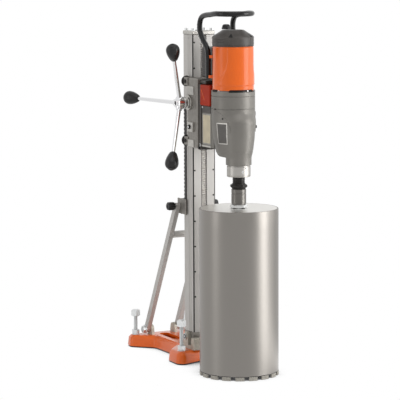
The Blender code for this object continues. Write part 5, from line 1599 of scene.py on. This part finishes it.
    def build_bracket(self) -> None:
        """Builds the bracket behind the housing, its orange cover in a darker copy of the paint that is
        painted shade, and the plates on its side.
        """
        bracket = refined("motor_bracket", Paint.HOUSING, 0.0012)
        for vertex in bracket.data.vertices:
            vertex.co.z = max(vertex.co.z, self.bracket_low)
        fit(bracket, "carriage", Slot.HOUSING, "motor_bracket")
        # The cover takes the darkened orange: painted shade.
        fit(refined("bracket_cover", Paint.RED, 0.0012), "carriage", Slot.ORANGE, "bracket_cover")
        wall_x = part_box("motor_bracket")[1].x
        plates = (
            ("strip", (-0.16, -0.11), (0.7225, 0.741), 0.0014, Paint.DARK, Slot.DARK, 0.0004),
            ("frame", (-0.162, -0.1115), (0.6345, 0.7205), 0.0012, Paint.FRAME, Slot.DARK, 0.0004),
            ("label", (-0.159, -0.1165), (0.6385, 0.7165), 0.0017, Paint.PLATE, Slot.DARK, 0.0002),
            ("foot", (-0.162, -0.109), (0.627, 0.6322), 0.0022, Paint.MACHINED, Slot.CAST, 0.0008),
        )
        for side, sign in SIDES:
            wall = sign * wall_x
            for label, y, z, out, paint, slot, edge in plates:
                near, far = sorted((wall - sign * 0.0006, wall + sign * out))
                corners = (near, y[0], z[0]), (far, y[1], z[1])
                fit(block(f"bracket_{label}_{side}", *corners, paint, edge), "carriage", slot)
            cover_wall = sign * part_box("bracket_cover")[1].x
            path = [(-0.115, 0.786), (-0.123, 0.776), (-0.129, 0.766), (-0.134, 0.758)]
            points = [(cover_wall - sign * 0.0004, y, z) for y, z in path]
            fit(tube(f"cover_crease_{side}", points, 0.0009, Paint.ORANGE), "carriage", Slot.ORANGE)
            spot = (wall + sign * 0.001, -0.1145, 0.7372)
            profile = [(0.001, 0.001), (0.0013, 0.0018), (0.0024, 0.0018), (0.0028, 0.0012), (0.0028, 0)]
            piece = turned(f"strip_screw_{side}", profile, Paint.ZINC, along((sign, 0, 0), spot), 28)
            fit(piece, "carriage", Slot.ZINC)

    def build_collar(self) -> None:
        """Builds the water collar under the housing, with its screw and port."""
        low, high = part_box("water_collar")
        centre = (low + high) / 2
        height, radius = high.z - low.z, high.x
        profile = [
            (0.0128, height), (radius - 0.0016, height), (radius - 0.001, height - 0.001),
            (radius - 0.001, height - 0.003), (radius, height - 0.0036), (radius, 0.0046),
            (radius - 0.0008, 0.004), (radius - 0.0008, 0.003), (radius, 0.0024), (radius, 0.0012),
            (radius - 0.0012, 0.0), (0.0128, 0.0),
        ]
        place = at(0, centre.y, low.z)
        collar = turned("collar_body", profile, Paint.COLLAR, place, 96, True)
        fit(collar, "carriage", Slot.ANODISED, "water_collar")
        for index, (angle, rise, size) in enumerate(
            ((8, 0.0245, 0.0021), (-8, 0.015, 0.0034), (95, 0.016, 0.0021))
        ):
            way = outward(angle)
            spot = Vector((0, centre.y, low.z + rise)) + way * (radius - 0.0004)
            profile = [
                (size * 0.45, 0.0001), (size * 0.55, 0.0007), (size * 0.9, 0.0007), (size, 0.0003),
                (size, -0.001),
            ]
            paint = Paint.ZINC if index == 1 else Paint.BLACKENED
            piece = turned(f"collar_screw_{index}", profile, paint, along(way, spot), 28)
            fit(piece, "carriage", Slot.BLACKENED)

    def build(self) -> None:
        """Builds the whole housing."""
        self.build_shell()
        self.build_trim()
        self.build_bracket()
        self.build_collar()


# ---------------------------------------------------------------- motor and handle


@dataclass
class Motor:
    """The motor's cover, cap, electronics housing and carrying handle."""

    housing: GearHousing
    steps: int = 144
    fin_pitch: float = 0.0054
    crease: float = 0.0016
    cap_side: float = 0.0262
    cap_flat: float = 0.0295
    cap_lines: Point = (0.0125, 0.0195)
    leg: float = 0.048
    tube_radius: float = 0.0075

    def ring(self, radius: Callable[[float], float], height: Callable[[float], float]) -> Ring:
        """Gives a ring about the motor's axis.

        Args:
            radius: The radius at an angle in degrees.
            height: The height at an angle in degrees.

        Returns:
            The ring.
        """
        points = []
        for i in range(self.steps):
            angle = 360 * i / self.steps - 180
            a = math.radians(angle)
            r = radius(angle)
            points.append(Vector((r * math.sin(a), self.housing.motor - r * math.cos(a), height(angle))))
        return points

    def step(self, angle: float, share: float) -> float:
        """Gives how far the cover's front panel stands proud.

        Args:
            angle: Degrees round the motor, from -Y towards +X.
            share: The height, from zero at the lower edge to one at the upper edge.

        Returns:
            The height of the step.
        """
        if share < 0.11:
            return 0.0
        border = 44 + 41 * max(0.0, 1 - (share - 0.11) / 0.62) ** 2.2
        slope = min(1.0, max(0.0, (border - abs(angle)) / 2.0 + 0.5))
        rise = min(1.0, (share - 0.11) / 0.025)
        return self.crease * slope * slope * (3 - 2 * slope) * rise

    def build_cover(self) -> None:
        """Builds the cover: a raised front panel with a curved border, and air slots along the lower edge
        with painted shade behind them.
        """
        low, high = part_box("motor_cover")
        radius = (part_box("stator")[1].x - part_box("stator")[0].x) / 2 + 0.0033
        height = high.z - low.z
        vented = self.housing.vented
        shares = [
            0.0, 0.006, 0.02, 0.04, 0.07, 0.1, 0.11, 0.118, 0.126, 0.135,
        ] + [0.15 + 0.83 * i / 36 for i in range(37)]

        def band(share: float, pull: float) -> Ring:
            """Gives one ring of the cover's side."""
            return self.ring(
                lambda a: radius - 0.0011 + self.step(a, share) - pull - 0.0008 * share,
                lambda a: low.z + max(height * share, 0.0032 * (1 + 0.3 * share) if vented(a) else 0.0004),
            )

        rings = [self.ring(lambda a: radius - 0.003, lambda a: low.z + (0.0032 if vented(a) else 0.0004))]
        rings += [band(share, 0.0 if share else 0.0008) for share in shares]
        for pull in (0.0016, 0.003):
            rings.append(self.ring(lambda a, p=pull: radius - 0.0011 - p, lambda a: high.z))
        cover = loft("cover_shell", rings, Paint.ORANGE)
        fit(cover, "carriage", Slot.ORANGE, "motor_cover")
        # A near-black cylinder behind the air slots stands for the dark inside of the cover: painted shade.
        core = turned(
            "vent_painted_shade_core", [(0.056, high.z - 0.01), (0.056, self.housing.high - 0.0004)], Paint.PAINTED_SHADE_BLACK,
            at(0, self.housing.motor, 0), 96,
        )
        fit(core, "carriage", Slot.BLACK)
        for index, angle in enumerate((15, -72, 72)):
            way = outward(angle)
            z = self.housing.high + 0.0034
            spot = Vector((0, self.housing.motor, z)) + way * (radius - 0.0032)
            profile = [(0.0008, 0.0022), (0.001, 0.0032), (0.002, 0.0032), (0.0024, 0.0026), (0.0024, 0)]
            piece = turned(f"cover_screw_{index}", profile, Paint.ZINC, along(way, spot), 28)
            fit(piece, "carriage", Slot.ZINC)
        self.build_lugs(low)

    def build_lugs(self, low: Vector) -> None:
        """Builds the lugs that hold the handle's legs.

        Args:
            low: The cover's lowest corner.
        """
        leg_y = self.housing.motor + self.leg
        half = (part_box("handle")[1].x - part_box("handle")[0].x) / 2 - self.tube_radius
        for side, sign in SIDES:
            for level, rise in enumerate((0.036, 0.091)):
                z = low.z + rise
                outline = [
                    (sign * 0.0405, leg_y - 0.0165),
                    (sign * (half + 0.001 - 0.003 * level), leg_y - 0.0105),
                    (sign * (half + 0.005), leg_y - 0.002), (sign * (half + 0.004), leg_y + 0.01),
                    (sign * 0.0405, leg_y + 0.0105),
                ]
                if sign < 0:
                    outline.reverse()
                lug = prism(
                    f"handle_lug_{side}_{level}", rounded(outline, 0.003, 3), z - 0.004, z + 0.004,
                    Paint.ORANGE,
                )
                fit(eased(lug, 0.0009), "carriage", Slot.ORANGE)

    def build_cap(self) -> None:
        """Builds the cap: a skirt with two grooves on each flank, a broad chamfer, two latches, and a wedge
        of painted shade for the notch above each latch.
        """
        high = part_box("top_cap")[1]
        bottom, top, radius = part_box("motor_cover")[1].z + 0.0003, high.z, high.x
        side, flat = self.cap_side, self.cap_flat

        def groove(angle: float, rise: float) -> float:
            """Returns the depth of a flank groove at an angle and a height above the skirt's foot."""
            within = any(abs(rise - line) < 0.0004 for line in self.cap_lines)
            return 0.0011 if within and 52 < abs(angle) < 118 else 0.0

        levels = [
            (radius - 0.001, 0.0), (radius - 0.0002, 0.0007), (radius - 0.0002, 0.0024),
            (radius - 0.0009, 0.003), (radius - 0.0009, 0.0036), (radius, 0.0042),
        ]
        levels += [
            (radius, z + step)
            for z in self.cap_lines
            for step in (-0.0009, -0.0003, 0.0003, 0.0009)
        ]
        levels += [
            (radius, side - 0.0012), (radius - 0.0006, side), (radius - 0.0022, side + 0.002),
            (flat + 0.0024, top - bottom - 0.0018), (flat + 0.001, top - bottom - 0.0006),
            (flat - 0.0008, top - bottom), (0.024, top - bottom), (0.0236, top - bottom - 0.0007),
            (0.0228, top - bottom - 0.0007), (0.0224, top - bottom),
        ]
        rings = [
            self.ring(lambda a, r=r, z=z: r - groove(a, z), lambda a, z=z: bottom + z)
            for r, z in levels
        ]
        fit(loft("cap_shell", rings, Paint.DARK), "carriage", Slot.DARK, "top_cap")
        for side_name, sign in SIDES:
            way, across = outward(sign * 35), outward(sign * 35 + 90)
            axis = Vector((0, self.housing.motor, bottom))
            corners = [(-0.0068, 0.0042), (0.0068, 0.0042), (0.0068, side - 0.001), (-0.0068, side - 0.001)]
            rings = [
                [axis + across * x + way * (radius + out) + Vector((0, 0, z)) for x, z in corners]
                for out in (-0.004, 0.0003)
            ]
            fit(eased(loft(f"cap_latch_{side_name}", rings, Paint.DARK), 0.0009), "carriage", Slot.DARK)
            # A near-black wedge on the chamfer stands for the dark inside of a notch: painted shade.
            wedge = [
                (-0.0062, side + 0.0002), (0.0062, side + 0.0002), (0.0012, side + 0.0085),
                (-0.0012, side + 0.0085),
            ]
            rings = []
            for out in (-0.006, 0.0008):
                ring = []
                for x, z in wedge:
                    lean = (z - side) / (top - bottom - side) * (radius - flat)
                    ring.append(axis + across * x + way * (radius - lean + out) + Vector((0, 0, z)))
                rings.append(ring)
            fit(eased(loft(f"cap_notch_painted_shade_{side_name}", rings, Paint.PAINTED_SHADE_BLACK), 0.0004), "carriage", Slot.BLACK)
        self.build_gland()

    def build_gland(self) -> None:
        """Builds the cable gland on the cap: a ribbed dome that closes round its bore."""
        low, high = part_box("cable_gland")
        centre = (low + high) / 2
        profile = [
            (0.003, 0.0126), (0.0036, 0.0136), (0.006, 0.0135), (0.0084, 0.0124), (0.0102, 0.0101),
            (0.0112, 0.0069), (0.0112, 0.005), (0.0122, 0.0043), (0.0125, 0.0036), (0.0125, 0.0),
        ]

        def flutes(r: float, a: float) -> float:
            """Returns how deep the grip's flutes are cut at a radius and an angle."""
            return 0.0007 * max(0.0, math.cos(12 * a)) if 0.007 < r < 0.0115 else 0.0

        place = at(0, centre.y, low.z)
        gland = fluted("gland_body", profile, flutes, Paint.BLACK, place)
        fit(gland, "carriage", Slot.BLACK, "cable_gland")

    def build_electronics(self) -> None:
        """Builds the electronics housing with cooling fins on its flanks and back."""
        fit(refined("electronics_housing", Paint.DARK, 0.001), "carriage", Slot.DARK, "electronics_housing")
        low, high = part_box("electronics_housing")
        count = int((high.z - low.z - 0.008) / self.fin_pitch)
        for index in range(count):
            z = low.z + 0.006 + index * self.fin_pitch
            out = 0.0024
            outline = [
                (-high.x - out, high.y - 0.03), (-high.x - out, high.y + out - 0.002),
                (-high.x + 0.002, high.y + out), (high.x - 0.002, high.y + out),
                (high.x + out, high.y + out - 0.002), (high.x + out, high.y - 0.03),
            ]
            outline.reverse()
            piece = prism(f"cooling_fin_{index}", outline, z, z + 0.0021, Paint.DARK, 0.0004)
            fit(piece, "carriage", Slot.DARK)

    def build_handle(self) -> None:
        """Builds the carrying handle: one bent tube from lug to lug round a front loop."""
        low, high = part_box("handle")
        radius = self.tube_radius
        half, top = high.x - radius, high.z - radius - 0.0003
        leg = self.housing.motor + self.leg
        cover_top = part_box("motor_cover")[1].z
        foot = low.z + 0.0004
        side = [
            (leg, foot), (leg, (foot + cover_top) / 2), (leg, cover_top - 0.03),
            (leg + 0.003, cover_top - 0.013), (leg + 0.014, cover_top + 0.001),
            (leg + 0.034, cover_top + 0.019), (leg + 0.046, cover_top + 0.034),
            (leg + 0.05, cover_top + 0.05), (leg + 0.047, cover_top + 0.067),
            (leg + 0.037, cover_top + 0.078), (leg + 0.018, cover_top + 0.0835),
            (leg - 0.012, cover_top + 0.0865),
        ]
        left = [(-half, y, z) for y, z in side]
        right = [(half, y, z) for y, z in reversed(side)]
        loop = []
        for i in range(13):
            a = math.pi * i / 12
            loop.append((-half * math.cos(a), self.housing.motor - half * math.sin(a), top))
        piece = tube("handle_tube", left + loop + right, radius, Paint.COATED)
        fit(piece, "carriage", Slot.COATED, "handle")

    def build(self) -> None:
        """Builds the whole motor."""
        self.build_cover()
        self.build_cap()
        self.build_electronics()
        self.build_handle()


# ---------------------------------------------------------------- spindle and bit


@dataclass
class Bit:
    """The spindle's nose, the release ring and the core bit."""

    radius: float = 0.1097
    wall: float = 0.003
    crown: float = 0.0115
    segments: int = 18
    segment_length: float = 0.024
    ribs: int = 5
    rib_depth: float = 0.0009
    first_gap: float = math.radians(-7.4)
    hexagon_turn: float = math.radians(-27.4)

    def __post_init__(self) -> None:
        """Takes the axis from the frame."""
        self.axis = middle("core_barrel")

    def spot(self, z: float) -> Matrix:
        """Returns the placement on the axis at a height."""
        return at(self.axis.x, self.axis.y, z)

    def build_nose(self) -> None:
        """Builds the spindle's nose, the ring and the hub."""
        hub_low, hub_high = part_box("bit_hub")
        ring_low, ring_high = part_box("release_ring")
        collar_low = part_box("water_collar")[0].z
        nose_low = ring_high.z + 0.0003
        height = collar_low - 0.0003 - nose_low
        profile = [
            (0.015, height), (0.0165, height - 0.0008), (0.017, height - 0.0016), (0.017, 0.006),
            (0.0163, 0.0052), (0.0163, 0.004), (0.017, 0.0032), (0.017, 0.001), (0.016, 0.0),
        ]
        piece = turned("spindle_nose", profile, Paint.BLACKENED, self.spot(nose_low), 72)
        fit(piece, "spindle", Slot.BLACKENED, "spindle")
        length = ring_high.z - ring_low.z
        radius = ring_high.x
        profile = [(0.0135, length), (0.0168, length), (0.0176, length - 0.001), (0.019, length - 0.004)]
        profile += [
            (
                radius - 0.0042 + 0.0042 * math.cos(math.radians(t)),
                length * 0.48 + 0.0046 * math.sin(math.radians(t)),
            )
            for t in range(80, -81, -16)
        ]
        profile += [(0.0196, 0.003), (0.019, 0.0008), (0.0184, 0.0), (0.0135, 0.0)]

        def grips(r: float, a: float) -> float:
            """Returns how deep the ring's grips are cut at a radius and an angle."""
            return 0.0013 * (0.5 - 0.5 * math.cos(8 * a)) if r > 0.0215 else 0.0

        place = self.spot(ring_low.z)
        ring_piece = fluted("ring_body", profile, grips, Paint.BLACKENED, place, loop=True)
        fit(ring_piece, "spindle", Slot.BLACKENED, "release_ring")
        hex_height, hub_radius = 0.0095, 0.0205
        length = hub_high.z - hub_low.z
        profile = [
            (0.0132, length), (hub_radius - 0.0014, length), (hub_radius, length - 0.0012),
            (hub_radius, length - 0.011), (hub_radius - 0.0007, length - 0.0116),
            (hub_radius - 0.0007, length - 0.0132), (hub_radius, length - 0.0138),
            (hub_radius, hex_height + 0.003), (hub_radius - 0.0012, hex_height + 0.0012),
            (hub_radius - 0.0012, hex_height - 0.001), (0.0132, hex_height - 0.001),
        ]
        hub = turned("hub_sleeve", profile, Paint.STEEL, self.spot(hub_low.z), 96, True)
        fit(hub, "spindle", Slot.STEEL, "bit_hub")
        place = self.spot(hub_low.z) @ Matrix.Rotation(self.hexagon_turn, 4, "Z")
        base = nut("hub_hexagon", 0.0433, 6, hex_height, 0.013, Paint.ZINC, place)
        fit(base, "spindle", Slot.STEEL)

    def build_barrel(self) -> None:
        """Builds the barrel with its rolled rim and the ground disc that closes it."""
        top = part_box("core_barrel")[1].z
        outer, inner = self.radius, self.radius - self.wall
        profile = [
            (outer - 0.002, top), (outer - 0.0006, top - 0.0005), (outer, top - 0.0018),
            (outer, top - 0.05), (outer, top - 0.15), (outer, top - 0.25), (outer, top - 0.35),
            (outer, self.crown + 0.0006), (outer - 0.0005, self.crown), (inner + 0.0005, self.crown),
            (inner, self.crown + 0.0006), (inner, top - 0.006), (0.015, top - 0.006), (0.015, top - 0.0009),
            (outer - 0.0036, top - 0.0009), (outer - 0.0032, top),
        ]
        place = at(self.axis.x, self.axis.y, 0)
        barrel = turned("barrel_tube", profile, Paint.TUBE, place, 192, True)
        fit(barrel, "spindle", Slot.TUBE, "core_barrel")
        disc = turned(
            "barrel_disc",
            [
                (0.0225, top - 0.0001), (outer - 0.0042, top - 0.0001), (outer - 0.0038, top - 0.0006),
                (outer - 0.0038, top - 0.004), (0.0225, top - 0.004),
            ],
            Paint.DISC, place, 192, True,
        )
        fit(disc, "spindle", Slot.TUBE)

    def build_segments(self) -> None:
        """Builds the diamond segments, each with upright ribs, and a dark band of painted shade along the top
        of each.
        """
        outer, inner = self.radius + 0.0007, self.radius - self.wall - 0.0007
        half = self.segment_length / self.radius / 2
        count = self.ribs * 4
        for index in range(self.segments):
            centre = 2 * math.pi * (index + 0.5) / self.segments + self.first_gap
            outline: list[Point] = []
            for i in range(count + 1):
                a = centre - half + 2 * half * i / count
                r = outer - (self.rib_depth if i % 4 == 2 else 0.0)
                outline.append((r * math.cos(a), r * math.sin(a)))
            for i in range(9):
                a = centre + half - 2 * half * i / 8
                outline.append((inner * math.cos(a), inner * math.sin(a)))
            place = at(self.axis.x, self.axis.y, 0)
            segment = prism(
                f"segment_{index + 1}", outline, 0.0, self.crown - 0.0008, Paint.SEGMENT, 0.0003, place,
            )
            fit(segment, "spindle", Slot.STEEL)
            # A near-black band along each segment's top stands for the dark outline round the segments:
            # painted shade.
            segment_shade_band: list[Point] = []
            for r, way in ((outer - 0.0005, 1), (inner + 0.0005, -1)):
                for i in range(9):
                    a = centre + way * (-half + 2 * half * i / 8) * 0.99
                    segment_shade_band.append((r * math.cos(a), r * math.sin(a)))
            strip = prism(
                f"weld_{index + 1}", segment_shade_band, self.crown - 0.0012, self.crown + 0.0008, Paint.BLACKENED,
                0.0003, place,
            )
            fit(strip, "spindle", Slot.BLACKENED)

    def build(self) -> None:
        """Builds the whole bit."""
        self.build_nose()
        self.build_barrel()
        self.build_segments()


# ---------------------------------------------------------------- studio


@dataclass
class Studio:
    """A white floor, soft lamps and the camera."""

    camera: Triple = (-2.7412, -5.2909, 1.193)
    azimuth: float = -27.4
    elevation: float = 7.0
    roll: float = -0.0045
    lens: float = 189.0
    sky: float = 0.5
    mirror_front: float = 0.68
    mirror_floor: float = 0.85
    pool: float = 2.6
    pool_way: Triple = (0.687, 0.727, 0.0)
    pool_offset: float = -0.171
    room_way: Triple = (0.46, 0.888, 0.0)

    def build_camera(self) -> None:
        """Builds the camera, which looks along its own azimuth and elevation."""
        a, e = math.radians(self.azimuth), math.radians(self.elevation)
        back = Vector((math.sin(a) * math.cos(e), -math.cos(a) * math.cos(e), math.sin(e)))
        data = bpy.data.cameras.new("camera")
        data.lens = self.lens
        data.sensor_width = 36.0
        data.clip_end = 50.0
        camera = bpy.data.objects.new("camera", data)
        turn = (-back).to_track_quat("-Z", "Y").to_matrix().to_4x4() @ Matrix.Rotation(self.roll, 4, "Z")
        camera.matrix_world = at(*self.camera) @ turn
        bpy.context.scene.collection.objects.link(camera)
        bpy.context.scene.camera = camera

    def lamp(
        self, name: str, place: Sequence[float], size: tuple[float, float], watts: float,
        shines: bool = True,
    ) -> None:
        """Builds a soft lamp that faces the rig.

        Args:
            name: The lamp's name.
            place: Where it stands.
            size: Its width and height.
            watts: Its power.
            shines: Whether polished parts show it.
        """
        data = bpy.data.lights.new(name, "AREA")
        data.shape = "RECTANGLE"
        data.size, data.size_y = size
        data.energy = watts
        lamp = bpy.data.objects.new(name, data)
        aim = Vector((0.0, -0.1, 0.5)) - Vector(place)
        lamp.matrix_world = at(*place) @ aim.to_track_quat("-Z", "Y").to_matrix().to_4x4()
        lamp.visible_camera = False
        lamp.visible_glossy = shines
        bpy.context.scene.collection.objects.link(lamp)

    def build_floor(self) -> None:
        """Builds the white floor, which keeps the rig's contact shadow and shows white in metal, with a
        painted pool of light in one band.
        """
        mesh = bpy.data.meshes.new("floor")
        mesh.from_pydata([(-9, -9, 0), (9, -9, 0), (9, 9, 0), (-9, 9, 0)], [], [(0, 1, 2, 3)])
        floor = bpy.data.objects.new("floor", mesh)
        made = bpy.data.materials.new("white_paper_floor")
        made.use_nodes = True
        tree = made.node_tree
        tree.nodes.clear()
        own = add_node(tree, "TexCoord").outputs["Object"]
        grain = add_node(tree, "TexNoise", {"Vector": own, "Scale": 700.0}).outputs["Fac"]
        mix = add_node(
            tree, "Mix", {0: grain, 6: linear("#F4F4F2"), 7: linear("#F8F8F7")}, data_type="RGBA",
        )
        matt = add_node(tree, "BsdfDiffuse", {"Color": mix.outputs[2]})
        near = add_node(tree, "AmbientOcclusion", {"Distance": 0.25}, samples=16).outputs["AO"]
        seen = add_node(
            tree, "MapRange", {"Value": near, "From Min": 0.2, "From Max": 0.64},
        ).outputs["Result"]
        path = add_node(tree, "LightPath")
        # For metal only, a band of the floor glows up to the pool's strength: a painted pool of light that
        # carries the lamps' reflection down the bit.
        across = add_node(tree, "VectorMath", {0: own, 1: self.pool_way}, operation="DOT_PRODUCT")
        inputs = {0: across.outputs["Value"], 1: self.pool_offset}
        offset = add_node(tree, "Math", inputs, operation="SUBTRACT").outputs[0]
        offset = add_node(tree, "Math", {0: offset}, operation="ABSOLUTE").outputs[0]
        beyond = add_node(tree, "SeparateXYZ", {"Vector": own}).outputs["X"]
        inputs = {
            "Value": beyond, "From Min": 0.1, "From Max": 0.3, "To Min": self.mirror_floor,
            "To Max": self.pool,
        }
        pool = add_node(tree, "MapRange", inputs).outputs["Result"]
        inputs = {
            "Value": offset, "From Min": 0.12, "From Max": 0.4, "To Min": pool, "To Max": self.mirror_floor,
        }
        mirror = add_node(tree, "MapRange", inputs).outputs["Result"]
        inputs = {0: path.outputs["Is Camera Ray"], 2: mirror, 3: seen}
        strength = add_node(tree, "Mix", inputs, data_type="FLOAT").outputs[0]
        white = add_node(tree, "Emission", {"Color": (1, 1, 1, 1), "Strength": strength})
        either = {0: path.outputs["Is Camera Ray"], 1: path.outputs["Is Glossy Ray"]}
        share = add_node(tree, "Math", either, operation="MAXIMUM").outputs[0]
        shader = add_node(tree, "MixShader", {0: share, 1: matt.outputs[0], 2: white.outputs[0]})
        add_node(tree, "OutputMaterial", {"Surface": shader.outputs[0]})
        mesh.materials.append(made)
        bpy.context.scene.collection.objects.link(floor)

    def build_world(self) -> None:
        """Builds the world: white to the camera, a plain grey light on the rig and a paler one in metal."""
        world = bpy.data.worlds.new("studio")
        bpy.context.scene.world = world
        world.use_nodes = True
        tree = world.node_tree
        tree.nodes.clear()
        path = add_node(tree, "LightPath")
        way = add_node(tree, "TexCoord").outputs["Generated"]
        dot = add_node(tree, "VectorMath", {0: way, 1: self.room_way}, operation="DOT_PRODUCT")
        inputs = {
            "Value": dot.outputs["Value"], "From Min": -1.0, "To Min": self.mirror_front, "To Max": 1.0,
        }
        mirror = add_node(tree, "MapRange", inputs).outputs["Result"]
        inputs = {0: path.outputs["Is Glossy Ray"], 2: self.sky, 3: mirror}
        plain = add_node(tree, "Mix", inputs, data_type="FLOAT").outputs[0]
        inputs = {0: path.outputs["Is Camera Ray"], 2: plain, 3: 1.0}
        strength = add_node(tree, "Mix", inputs, data_type="FLOAT").outputs[0]
        background = add_node(tree, "Background", {"Color": (1, 1, 1, 1), "Strength": strength})
        add_node(tree, "OutputWorld", {"Surface": background.outputs[0]})

    def build(self) -> None:
        """Builds the studio."""
        self.build_camera()
        self.build_floor()
        self.build_world()
        self.lamp("right_key", (1.45, -1.57, 1.0), (1.0, 2.2), 26.0)
        self.lamp("right_panel", (1.91, -0.8, 1.0), (1.2, 2.2), 7.0)
        self.lamp("left_strip", (-1.98, 0.06, 0.8), (0.6, 2.2), 5.0)
        self.lamp("left_fill", (-1.9, -0.3, 0.9), (1.2, 2.0), 4.5, False)
        self.lamp("overhead", (-0.3, -0.9, 2.3), (1.5, 1.5), 7.0)
        bpy.context.scene.view_settings.view_transform = "Standard"


def main() -> None:
    """Builds the rig and the studio."""
    logging.basicConfig(level=logging.INFO, format="%(message)s")
    Studio().build()
    Base().build()
    Column().build()
    Braces().build()
    Carriage().build()
    Crank().build()
    housing = GearHousing()
    housing.build()
    Motor(housing).build()
    Bit().build()
    dress(Paint.STEEL, "pinion_shaft", "layshaft")
    dress(Paint.COPPER, "stator", "armature")
    # The bearing plate is bare casting; it is painted blackened steel because its rim sits in shade: painted
    # shade.
    dress(Paint.BLACKENED, "bearing_plate")


if __name__ == "__main__":
    main()
